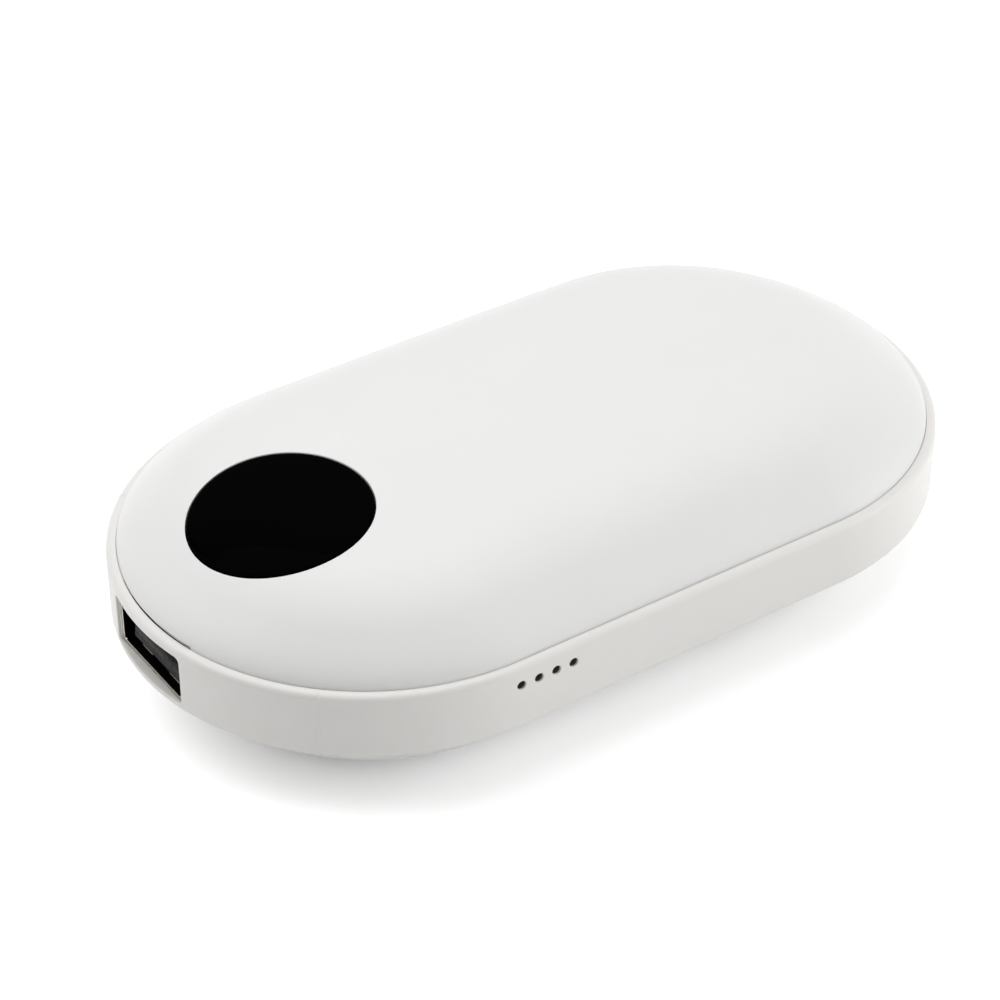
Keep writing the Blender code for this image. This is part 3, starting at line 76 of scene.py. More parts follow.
class Draft:
    """Mesh under construction, in millimetres, made of rings and patches that are welded at the end."""

    weld = 0.0008
    sliver = 0.0004

    def __init__(self, mesh: bpy.types.Mesh | None = None) -> None:
        """Starts from an empty mesh or a copy of a finished one, which is already in metres."""
        self.mesh = bmesh.new()
        if mesh:
            self.mesh.from_mesh(mesh)

    def ring(self, points: Iterable[Point]) -> list[bmesh.types.BMVert]:
        """Adds one vertex for each point and gives them back."""
        return [self.mesh.verts.new([MM * value for value in point]) for point in points]

    def cap(self, points: Iterable[Point]) -> None:
        """Adds one face over a loop of points."""
        self.mesh.faces.new(self.ring(points))

    def loft(self, rings: Sequence[Sequence[Point]], closed: bool = False, caps: bool = False) -> None:
        """Joins rings of equally many points with quads.

        Args:
            rings: Rings in order, each one a closed loop of points.
            closed: Whether the last ring is joined to the first one.
            caps: Whether the first and last rings are filled.
        """
        made = [self.ring(points) for points in rings]
        pairs = list(zip(made, made[1:]))
        if closed:
            pairs.append((made[-1], made[0]))
        for first, second in pairs:
            for number, corner in enumerate(first):
                following = (number + 1) % len(first)
                self.mesh.faces.new((corner, first[following], second[following], second[number]))
        if caps:
            self.mesh.faces.new(reversed(made[0]))
            self.mesh.faces.new(made[-1])

    def patch(
        self, loops: Sequence[Sequence[Plan]], fill: Sequence[Plan], place: Callable[[float, float], Point]
    ) -> None:
        """Fills the first loop less the others with small triangles and lays them on a surface.

        Args:
            loops: The outline, and the outlines of the holes in it.
            fill: Points between them that the triangles use too.
            place: Gives the point in space of a point of the plan.
        """
        flat = [Vector(point) for loop in loops for point in loop] + [Vector(point) for point in fill]
        edges, start = [], 0
        for loop in loops:
            count = len(loop)
            edges += [(start + number, start + (number + 1) % count) for number in range(count)]
            start += count
        corners, _, faces, *_ = delaunay_2d_cdt(flat, edges, [], 0, 1e-7)
        used: dict[int, bmesh.types.BMVert] = {}
        for face in faces:
            middle = sum((corners[number] for number in face), Vector((0, 0))) / len(face)
            if not within(middle, loops[0]) or any(within(middle, hole) for hole in loops[1:]):
                continue
            for number in face:
                if number not in used:
                    used[number] = self.ring([place(*corners[number])])[0]
            self.mesh.faces.new([used[number] for number in face])

    def made(self, name: str, sharp: float = 32.0, even: bool = False) -> bpy.types.Object:
        """Welds the mesh and makes it an object with smooth faces and hard edges.

        Args:
            name: Name of the new piece.
            sharp: Angle in degrees from which an edge is drawn hard.
            even: Whether large faces rule the shading.

        Returns:
            The new object, in metres.
        """
        bmesh.ops.remove_doubles(self.mesh, verts=self.mesh.verts, dist=self.weld * MM)
        bmesh.ops.dissolve_degenerate(self.mesh, edges=self.mesh.edges, dist=self.sliver * MM)
        data = bpy.data.meshes.new(name)
        self.write(data)
        thing = bpy.data.objects.new(name, data)
        bpy.context.scene.collection.objects.link(thing)
        shade(thing, sharp)
        if even:
            even_shading(thing)
        return thing

    def write(self, data: bpy.types.Mesh) -> None:
        """Turns every face outwards, writes the mesh and ends the draft."""
        bmesh.ops.recalc_face_normals(self.mesh, faces=self.mesh.faces)
        self.mesh.to_mesh(data)
        self.mesh.free()


def within(point: Sequence[float], loop: Sequence[Plan]) -> bool:
    """Tells whether a point of the plan lies inside a closed loop.

    Args:
        point: The point.
        loop: The loop's points in order.

    Returns:
        True for a point inside.
    """
    x, y = point[0], point[1]
    inside = False
    for number, (ax, ay) in enumerate(loop):
        bx, by = loop[number - 1]
        if (ay > y) != (by > y) and x < (bx - ax) * (y - ay) / (by - ay) + ax:
            inside = not inside
    return inside


def shade(thing: bpy.types.Object, sharp: float) -> None:
    """Draws an object's faces smooth and its sharper edges hard.

    Args:
        thing: The object.
        sharp: Angle in degrees from which an edge is drawn hard.
    """
    work = bmesh.new()
    work.from_mesh(thing.data)
    for face in work.faces:
        face.smooth = True
    for edge in work.edges:
        edge.smooth = len(edge.link_faces) == 2 and edge.calc_face_angle(0) < math.radians(sharp)
    work.to_mesh(thing.data)
    work.free()


def even_shading(thing: bpy.types.Object) -> None:
    """Lets large faces rule the shading, so that a narrow rounding stays narrow."""
    thing.modifiers.new("even shading", "WEIGHTED_NORMAL").keep_sharp = True


def carve(thing: bpy.types.Object, cutter: bpy.types.Object) -> None:
    """Takes one object's solid out of another.

    Args:
        thing: The object that is cut.
        cutter: The object that cuts it and is then removed.
    """
    tool = thing.modifiers.new("carve", "BOOLEAN")
    tool.object, tool.operation, tool.solver = cutter, "DIFFERENCE", "EXACT"
    seen = thing.evaluated_get(bpy.context.evaluated_depsgraph_get())
    result = bpy.data.meshes.new_from_object(seen)
    thing.modifiers.clear()
    spare, thing.data = thing.data, result
    bpy.data.meshes.remove(spare)
    bpy.data.objects.remove(cutter)


# Lines


def spread(start: float, end: float, parts: int) -> list[float]:
    """Gives evenly spaced values from the start to the end, both included."""
    return [start + (end - start) * step / parts for step in range(parts + 1)]


def between(start: Sequence[float], end: Sequence[float], share: float) -> tuple[float, ...]:
    """Gives the point at a share of the way from one point to another."""
    return tuple(a + (b - a) * share for a, b in zip(start, end))


def bend(start: float, through: float, end: float, share: float) -> float:
    """Gives the height at a share of a curve that leans towards a height between its ends."""
    return (1 - share) ** 2 * start + 2 * share * (1 - share) * through + share * share * end


def slowing(start: float, end: float, share: float) -> float:
    """Gives the value at a share of a way whose steps grow shorter towards the end."""
    return start + (end - start) * (2 * share - share * share)


def circle(radius: float, steps: int, centre: Plan = (0.0, 0.0)) -> list[Plan]:
    """Gives the points of a circle counter-clockwise."""
    turns = [math.tau * step / steps for step in range(steps)]
    return [(centre[0] + radius * math.cos(turn), centre[1] + radius * math.sin(turn)) for turn in turns]


def arc(centre: Plan, radius: float, start: float, end: float, steps: int) -> list[Plan]:
    """Gives the points of an arc between two angles in degrees."""
    turns = [math.radians(turn) for turn in spread(start, end, steps)]
    return [(centre[0] + radius * math.cos(turn), centre[1] + radius * math.sin(turn)) for turn in turns]


def rounding(radius: float, steps: int = 4) -> list[Plan]:
    """Gives (grow, depth) of the rings of a rounded mouth, from the surface to the hole's wall."""
    turns = [math.pi / 2 * step / steps for step in range(steps + 1)]
    return [(radius * (1 - math.sin(turn)), radius * (1 - math.cos(turn))) for turn in turns]


def rectangle(left: float, right: float, low: float, high: float) -> list[Plan]:
    """Gives the four corners of a rectangle counter-clockwise."""
    return [(left, low), (right, low), (right, high), (left, high)]


def rounded_rectangle(width: float, height: float, corner: float, steps: int = 6, pitch: float = 0.8) -> list[Plan]:
    """Gives the outline of a rectangle with round corners, round the origin.

    Args:
        width: Whole width.
        height: Whole height.
        corner: Radius of the corners; half the width of a square gives a circle.
        steps: Parts of each corner.
        pitch: Longest part of a straight side.

    Returns:
        Points counter-clockwise.
    """
    outline: list[Plan] = []
    for quarter, (right, up) in enumerate(((1, 1), (-1, 1), (-1, -1), (1, -1))):
        middle = (right * (width / 2 - corner), up * (height / 2 - corner))
        for step in range(steps + 1):
            angle = math.pi / 2 * quarter + math.pi / 2 * step / steps
            outline.append((middle[0] + corner * math.cos(angle), middle[1] + corner * math.sin(angle)))
    full: list[Plan] = []
    for number, point in enumerate(outline):
        following = outline[(number + 1) % len(outline)]
        length = math.dist(point, following)
        if length > 1e-6:
            parts = max(1, math.ceil(length / pitch))
            full += [between(point, following, part / parts) for part in range(parts)]
    return full


def lay(plan: Iterable[Plan], height: float | Height, change: float = 0.0) -> list[Point]:
    """Gives the points of a plan at one height or on a surface, moved up by the change."""
    return [(x, y, (height(x, y) if callable(height) else height) + change) for x, y in plan]


def upright(outline: Iterable[Plan], place: Point, along: bool = False) -> list[Point]:
    """Stands an outline up round a place, across the part or along it."""
    x, y, z = place
    return [(x + u, y, z + v) if along else (x, y + u, z + v) for u, v in outline]


# Finishes


def linear(colour: str, strength: float = 1.0) -> tuple[float, float, float, float]:
    """Turns an sRGB hex colour to the linear one that a shader takes.

    Args:
        colour: The colour as "#RRGGBB".
        strength: What the colour is multiplied by.

    Returns:
        Red, green, blue and alpha.
    """
    parts = [int(colour[place : place + 2], 16) / 255 for place in (1, 3, 5)]
    values = [part / 12.92 if part <= 0.04045 else ((part + 0.055) / 1.055) ** 2.4 for part in parts]
    return (*(strength * value for value in values), 1.0)


def fresh_tree(owner: bpy.types.Material | bpy.types.World) -> bpy.types.NodeTree:
    """Gives a material or world an empty node tree.

    Args:
        owner: The material or world.

    Returns:
        Its tree.
    """
    owner.use_nodes = True
    owner.node_tree.nodes.clear()
    return owner.node_tree


def add_node(
    tree: bpy.types.NodeTree,
    kind: str,
    inputs: dict[str | int, object] | None = None,
    output: str | int = 0,
    **settings: object,
) -> bpy.types.NodeSocket | None:
    """Adds a shader node to a tree, sets it and links it.

    Args:
        tree: The node tree.
        kind: The node's type name, less its first part, "ShaderNode".
        inputs: Sockets by name or number, each with a value or with the socket that feeds it.
        output: Name or number of the output that is given back.
        settings: The node's own settings.

    Returns:
        The output, or nothing for a node without any.
    """
    made = tree.nodes.new(f"ShaderNode{kind}")
    for name, value in settings.items():
        setattr(made, name, value)
    for name, value in (inputs or {}).items():
        if isinstance(value, bpy.types.NodeSocket):
            tree.links.new(value, made.inputs[name])
        else:
            made.inputs[name].default_value = value
    return made.outputs[output] if made.outputs else None


def fineness(size: float) -> float:
    """Gives the texture scale whose features are about that many millimetres across."""
    return 1 / (size * MM)


class Grain(Enum):
    """How a surface's finest relief was made."""

    SPARK_ERODED = "spark-eroded mould"
    POLISHED = "polished mould"
    ROLLED = "rolled sheet"
    FILM = "stretched film"


@dataclass(frozen=True)
class Finish:
    """One real finish: what it is made of, how it was made and what its fine relief does."""

    title: str
    tint: str
    drift: str
    roughness: float
    index: float = 1.5
    metallic: float = 0.0
    coat: float = 0.0
    clear: float = 0.0
    mirror: float = 0.5
    skin: float = 0.0
    grain: Grain = Grain.SPARK_ERODED
    grain_size: float = 0.16
    grain_depth: float = 0.003
    unevenness: float = 0.05
    cloud_size: float = 9.0
    contrast: float = 1.0

    def build(self) -> bpy.types.Material:
        """Makes the material: slow colour drift, fine relief and uneven gloss on one shader.

        Returns:
            The new material.
        """
        made = bpy.data.materials.new(self.title)
        tree = fresh_tree(made)
        place = add_node(tree, "TexCoord", output="Object")
        stretched = add_node(tree, "Mapping", {"Vector": place, "Scale": self.stretch()})
        drifts = {"Vector": place, "Scale": fineness(self.cloud_size), "Detail": 3.0, "Roughness": 0.55}
        grains = {"Vector": stretched, "Scale": fineness(self.grain_size), "Detail": 4.0, "Roughness": 0.6}
        clouds, fine = (add_node(tree, "TexNoise", inputs, "Fac") for inputs in (drifts, grains))
        reach = 0.5 / self.contrast
        share = add_node(tree, "MapRange", {"Value": clouds, "From Min": 0.5 - reach, "From Max": 0.5 + reach})
        tints = {0: share, 6: linear(self.tint), 7: linear(self.drift)}
        gloss = {
            "Value": clouds if self.grain is Grain.POLISHED else fine,
            "From Min": 0.3,
            "From Max": 0.7,
            "To Min": max(0.02, self.roughness - self.unevenness),
            "To Max": self.roughness + self.unevenness,
        }
        relief = {"Height": self.relief(tree, place, fine), "Distance": self.grain_depth * MM, "Strength": 1.0}
        shader = {
            "Base Color": add_node(tree, "Mix", tints, 2, data_type="RGBA"),
            "Roughness": add_node(tree, "MapRange", gloss),
            "Normal": add_node(tree, "Bump", relief),
            "Metallic": self.metallic,
            "Coat Weight": self.coat,
            "Coat Roughness": 0.06,
            "Specular IOR Level": self.mirror,
            "Transmission Weight": self.clear,
            "Subsurface Weight": self.skin,
            "Subsurface Radius": (1.0, 0.8, 0.6),
            "Subsurface Scale": 0.6 * MM,
        }
        if not self.metallic:
            shader["IOR"] = self.index
        add_node(tree, "OutputMaterial", {"Surface": add_node(tree, "BsdfPrincipled", shader)})
        return made

    def stretch(self) -> Point:
        """Gives the grain's stretch: rolled metal and drawn film have theirs along the part."""
        return (0.08, 1.0, 1.0) if self.grain in (Grain.ROLLED, Grain.FILM) else (1.0, 1.0, 1.0)

    def relief(
        self, tree: bpy.types.NodeTree, place: bpy.types.NodeSocket, fine: bpy.types.NodeSocket
    ) -> bpy.types.NodeSocket:
        """Gives the height of the fine relief: packed pits on a spark-eroded face, plain grain elsewhere.

        Args:
            tree: The material's tree.
            place: Object coordinates.
            fine: The grain's noise.

        Returns:
            The socket with the height.
        """
        if self.grain is not Grain.SPARK_ERODED:
            return fine
        cells = {"Vector": place, "Scale": fineness(self.grain_size * 1.6), "Smoothness": 0.8}
        pits = add_node(tree, "TexVoronoi", cells, "Distance", feature="SMOOTH_F1")
        return add_node(tree, "Math", {0: pits, 1: fine}, operation="ADD")


def metal(
    title: str, tint: str, drift: str, roughness: float, size: float = 0.1, depth: float = 0.001, cloud: float = 9.0
) -> Finish:
    """Gives the finish of a rolled metal with its drawing lines."""
    return Finish(
        title, tint, drift, roughness, metallic=1.0,
        grain=Grain.ROLLED, grain_size=size, grain_depth=depth, cloud_size=cloud,
    )


SLOT_FINISHES: dict[str, Finish] = {
    # Moulded ABS: white pigment hides the resin, and the satin grain of the mould breaks up every reflection.
    "shell_white": Finish("moulded ABS, satin white", "#ECECEB", "#E9E9E8", 0.46, 1.53, skin=0.04),
    # The band's ABS is a warmer white, and it takes the same satin grain.
    "band_white": Finish("moulded ABS, warm white", "#EDEBE8", "#EAE8E5", 0.42, 1.53, skin=0.04),
    # Polycarbonate from a polished mould under an anti-reflection coat: deep black with only a faint clear mirror.
    "gloss_black": Finish(
        "gloss polycarbonate, black", "#010101", "#020202", 0.06, 1.585, mirror=0.003,
        grain=Grain.POLISHED, grain_size=1.6, grain_depth=0.0008, unevenness=0.02, cloud_size=6.0,
    ),
    "inner_plastic": Finish("moulded ABS, natural", "#CFCDC6", "#C8C5BC", 0.55, 1.53),
    "black_plastic": Finish("glass-filled nylon, black", "#242426", "#1D1D1F", 0.5, 1.53, grain_size=0.12),
    # The tongue's liquid-crystal polymer is dark grey with a dry, flaky skin where it left the mould.
    "tongue_plastic": Finish(
        "liquid-crystal polymer, dark grey", "#3B393B", "#181718", 0.66, 1.6, mirror=0.3,
        grain_size=0.14, grain_depth=0.03, cloud_size=0.42, contrast=3.6,
    ),
    # Tin over steel: a soft grey mirror with the drawing lines of the sheet.
    "steel": metal("plated steel", "#C2C2C4", "#B5B5B8", 0.28),
    # Steel drawn near black: painted shade for the socket's inside, which lies in shadow; only the sleeve's front
    # edge catches light.
    "dark_steel": metal("near-black steel, painted socket shade", "#0E0D0D", "#0A0909", 0.4),
    "gold_plate": metal("gold plate on bronze", "#E2B266", "#D6A257", 0.24, 0.08, 0.0008, 1.2),
    "board_green": Finish(
        "solder mask over copper, green", "#16502E", "#1C5C36", 0.32, 1.55, coat=0.4,
        grain=Grain.POLISHED, grain_size=0.6, cloud_size=2.0,
    ),
    "clear_guide": Finish(
        "clear acrylic", "#F1F3F4", "#ECEFF0", 0.12, 1.49, clear=0.75,
        grain=Grain.POLISHED, grain_size=0.5, grain_depth=0.001, cloud_size=2.0,
    ),
    "led_yellow": Finish("phosphor in silicone, yellow", "#E6D08A", "#D9C071", 0.45, 1.43, grain_size=0.06),
    "cell_wrap": Finish(
        "shrink sleeve, blue", "#2C5F9E", "#27568F", 0.3, 1.54, grain=Grain.FILM, grain_size=0.3, cloud_size=5.0
    ),
    "nickel": metal("nickel strip", "#D3CDC2", "#C7C1B6", 0.33, 0.12),
    "aluminium_sheet": metal("rolled aluminium", "#E3E4E6", "#D9DADC", 0.34, 0.15),
    "amber_film": Finish(
        "polyimide film, amber", "#AE7330", "#A0662A", 0.25, 1.7, coat=0.3, grain=Grain.FILM, grain_size=0.3
    ),
    "red_lead": Finish("silicone sleeve, red", "#B42222", "#A61E1E", 0.42, 1.41, grain_size=0.1),
    "black_lead": Finish("silicone sleeve, black", "#262626", "#1F1F1F", 0.42, 1.41, grain_size=0.1),
}
# The walls of the light holes past their mouths are painted dark brown: painted shade for the inside of each hole.
LIGHT_HOLE_SHADE = Finish("painted shade, light hole walls", "#6E5C4E", "#655447", 0.6, 1.53, grain_size=0.08)
# The strip along the tongue's lower front edge was shut off by the mould's slide and came out smooth.
SMOOTH_POLYMER = Finish(
    "liquid-crystal polymer, smooth", "#323133", "#2C2B2D", 0.5, 1.6, mirror=0.3,
    grain=Grain.POLISHED, grain_size=0.3, grain_depth=0.001, cloud_size=1.5,
)
# The outer faces of the sleeve's front edge keep a bright steel finish, against the painted shade on the rest of the
# sleeve.
SHEARED_STEEL = metal("sheared steel edge", "#E4DDCB", "#D6CEBA", 0.3)
# The fingers are tinned spring bronze, of which only a thin pinkish edge shows under the tongue.
SPRING_BRONZE = metal("tinned spring bronze", "#B9A690", "#AD9A85", 0.34)


class Wardrobe:
    """Builds each slot's material once and puts it on pieces."""

    def __init__(self) -> None:
        """Starts with no material built."""
        self.built: dict[str, bpy.types.Material] = {}

    def dress(self, thing: bpy.types.Object, slot: str, finish: Finish | None = None) -> None:
        """Puts a slot's material, or a finish of its own, on an object in place of any other.

        Args:
            thing: The object.
            slot: The material slot.
            finish: Finish that differs from the slot's own.
        """
        if not finish and slot not in self.built:
            self.built[slot] = SLOT_FINISHES[slot].build()
        thing.data.materials.clear()
        thing.data.materials.append(finish.build() if finish else self.built[slot])

    def settle(
        self, thing: bpy.types.Object, slot: str, *nodes: str, body: str = "housing", finish: Finish | None = None
    ) -> bpy.types.Object:
        """Dresses a new piece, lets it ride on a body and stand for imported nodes.

        Args:
            thing: The new piece.
            slot: Material slot that it takes its finish from.
            nodes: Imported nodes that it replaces.
            body: Name of the body that carries it.
            finish: Finish that differs from the slot's own.

        Returns:
            The piece.
        """
        self.dress(thing, slot, finish)
        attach(thing, body)
        if nodes:
            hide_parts(*nodes)
        LOG.info("%s: %d faces, %s", thing.name, len(thing.data.polygons), slot)
        return thing

    def accent(self, thing: bpy.types.Object, finish: Finish, chosen: Callable[[Vector, Vector], bool]) -> None:
        """Gives some faces of a dressed piece a second finish.

        Args:
            thing: The piece.
            finish: The second finish.
            chosen: Tells from a face's middle, in millimetres, and normal whether the face takes it.
        """
        thing.data.materials.append(finish.build())
        for face in thing.data.polygons:
            if chosen(face.center / MM, face.normal):
                face.material_index = len(thing.data.materials) - 1


# Housing


@dataclass(frozen=True)
class HousingForm:
    """Sizes and surfaces that the two shells, the band and the button share."""

    half_length: float = 52.0
    end_radius: float = 30.0
    lower_seam: float = 8.8
    upper_seam: float = 17.0
    top_rise: float = 8.0
    bottom_rise: float = 8.8
    crown_rise: float = 1.3
    dome_power: float = 5.2
    crown_power: float = 4.0
    flat_share: float = 1.03
    flat_easing: float = 0.02
    shell_wall: float = 1.2
    rim_radius: float = 28.68
    inner_rim_radius: float = 27.48
    rebate_radius: float = 28.8
    band_inner_radius: float = 27.3
    top_rim: float = 16.5
    bottom_rim: float = 9.3
    catch_rib_depth: float = 0.8
    catch_rib_height: float = 1.0
    seat_gap: float = 0.3
    button_x: float = -33.8
    button_radius: float = 10.5
    arc_steps: int = 96
    side_steps: int = 16

    @property
    def half_straight(self) -> float:
        """Half the length of the straight sides."""
        return self.half_length - self.end_radius

    @property
    def middle(self) -> float:
        """Height of the band's middle."""
        return (self.lower_seam + self.upper_seam) / 2

    @property
    def quarter(self) -> float:
        """Travel along the band from an end's middle to the start of the straight side."""
        return self.end_radius * math.pi / 2

    @property
    def half_way(self) -> float:
        """Travel along the band from the near end's middle to the far end's middle."""
        return 2 * (self.quarter + self.half_straight)

    def stations(self, extra: Sequence[float] = ()) -> list[float]:
        """Gives the travels of a ring's points, from the far end round by the near end and back.

        Args:
            extra: Further travels that need a point of their own.

        Returns:
            Sorted travels, the first and last of which are one place.
        """
        half = self.arc_steps // 2
        near = [self.quarter * step / half for step in range(half + 1)]
        side = [self.quarter + 2 * self.half_straight * step / self.side_steps for step in range(1, self.side_steps)]
        far = [self.half_way - travel for travel in near]
        one_side = {round(travel, 6) for travel in (*near, *side, *far)}
        return sorted({*one_side, *(-travel for travel in one_side), *extra})

    def plan(self, travel: float, radius: float) -> Plan:
        """Gives the plan point at a travel along the band.

        Args:
            travel: Travel from the near end's middle, negative on the back side.
            radius: Distance from the part's middle line.

        Returns:
            The point.
        """
        side = -1 if travel < 0 else 1
        travel = abs(travel)
        if travel <= self.quarter:
            turn = travel / self.end_radius
            return -self.half_straight - radius * math.cos(turn), -side * radius * math.sin(turn)
        if travel <= self.half_way - self.quarter:
            return travel - self.quarter - self.half_straight, -side * radius
        turn = (self.half_way - travel) / self.end_radius
        return self.half_straight + radius * math.cos(turn), -side * radius * math.sin(turn)

    def outline(self, radius: float, extra: Sequence[float] = ()) -> list[Plan]:
        """Gives the plan of a ring at a radius."""
        return [self.plan(travel, radius) for travel in self.stations(extra)[:-1]]

    def reach(self, x: float, y: float, radius: float) -> float:
        """Distance of a plan point from the part's middle line, as a share of a radius."""
        return min(math.hypot(max(abs(x) - self.half_straight, 0), y) / radius, 1)

    def dome_share(self, x: float, share: float) -> float:
        """Gives the height of the top dome as a share of its rise.

        Args:
            x: Place along the part.
            share: Distance from the middle line as a share of the rim's.

        Returns:
            0 at the rim and 1 at the crown.
        """
        side_share = 1 - self.crown_rise / self.top_rise
        across = 1 - share**self.dome_power
        along = (1 - (x / (self.half_straight + self.rim_radius)) ** 2) * (1 - share**self.crown_power)
        return side_share * across + (1 - side_share) * along

    def bowl_share(self, share: float) -> float:
        """Gives the depth of the bottom bowl as a share of its rise, eased into the flat that it rests on.

        Args:
            share: Distance from the middle line as a share of the rim's.

        Returns:
            0 at the rim and 1 on the flat.
        """
        raw = self.flat_share * (1 - share**self.dome_power)
        if abs(raw - 1) < self.flat_easing:
            return 1 - (1 + self.flat_easing - raw) ** 2 / (4 * self.flat_easing)
        return min(1, raw)

    def top_outside(self, x: float, y: float) -> float:
        """Height of the top shell's outer face."""
        return self.upper_seam + self.top_rise * self.dome_share(x, self.reach(x, y, self.rim_radius))

    def top_inside(self, x: float, y: float) -> float:
        """Height of the top shell's inner face."""
        rise = self.upper_seam + self.top_rise - self.shell_wall - self.top_rim
        return self.top_rim + rise * self.dome_share(x, self.reach(x, y, self.inner_rim_radius))

    def top_wall(self, x: float, y: float) -> float:
        """Height of the middle of the top shell's wall."""
        return (self.top_inside(x, y) + self.top_outside(x, y)) / 2

    def bottom_outside(self, x: float, y: float) -> float:
        """Height of the bottom shell's outer face."""
        return self.lower_seam - self.bottom_rise * self.bowl_share(self.reach(x, y, self.rim_radius))

    def bottom_inside(self, x: float, y: float) -> float:
        """Height of the bottom shell's inner face."""
        share = self.bowl_share(self.reach(x, y, self.inner_rim_radius))
        return self.bottom_rim - (self.bottom_rim - self.shell_wall) * share

    def bottom_wall(self, x: float, y: float) -> float:
        """Height of the middle of the bottom shell's wall."""
        return (self.bottom_inside(x, y) + self.bottom_outside(x, y)) / 2


FORM = HousingForm()


@dataclass(frozen=True)
class ShellFittings:
    """Clips and ribs inside a shell, which grow from the middle of its wall."""

    wall: Height
    side: int
    clips: tuple[Plan, ...]
    clip_half: float = 2.5
    clip_root: float = 1.0
    hook: float = 0.7
    hook_rise: float = 0.8
    rib_half: float = 0.6
    rib_end: float = 14.5
    holder_wall: float = 0.7

    def add_clips(self, draft: Draft) -> None:
        """Adds the snap clips, which reach past the band's catch rib.

        Args:
            draft: Mesh that takes the clips.
        """
        catch = FORM.middle - self.side * (FORM.catch_rib_height / 2 + FORM.seat_gap)
        outer = FORM.band_inner_radius - FORM.catch_rib_depth - FORM.seat_gap
        root, tip = outer - self.clip_root, catch - self.side * self.hook_rise
        profile = ((root, None), (outer, None), (outer, catch), (outer + self.hook, catch), (outer, tip), (root, tip))
        for end_share, angle in self.clips:
            rings = []
            for across in (-self.clip_half, self.clip_half):
                ring = []
                for radius, height in profile:
                    turned = Matrix.Rotation(math.radians(angle), 2) @ Vector((radius, across))
                    x, y = end_share * FORM.half_straight + turned.x, turned.y
                    ring.append((x, y, self.wall(x, y) if height is None else height))
                rings.append(ring)
            draft.loft(rings, caps=True)

    def add_ribs(self, draft: Draft, end: str, start: float) -> None:
        """Adds the two thin ribs that press on a cell holder.

        Args:
            draft: Mesh that takes the ribs.
            end: Which holder, "near" or "far".
            start: Distance of the ribs' inner ends from the middle line.
        """
        low, high = node_box(f"{end}_cell_holder")
        x = low.x + self.holder_wall if end == "near" else high.x - self.holder_wall
        foot = high.z + FORM.seat_gap if self.side > 0 else low.z - FORM.seat_gap
        near, far = x - self.rib_half, x + self.rib_half
        for first, last in ((start, self.rib_end), (-self.rib_end, -start)):
            rows = spread(first, last, 6)
            feet = [[(near, y, foot), (far, y, foot)] for y in rows]
            roots = [[(far, y, self.wall(far, y)), (near, y, self.wall(near, y))] for y in rows]
            draft.loft([foot_edge + root_edge for foot_edge, root_edge in zip(feet, roots)], caps=True)


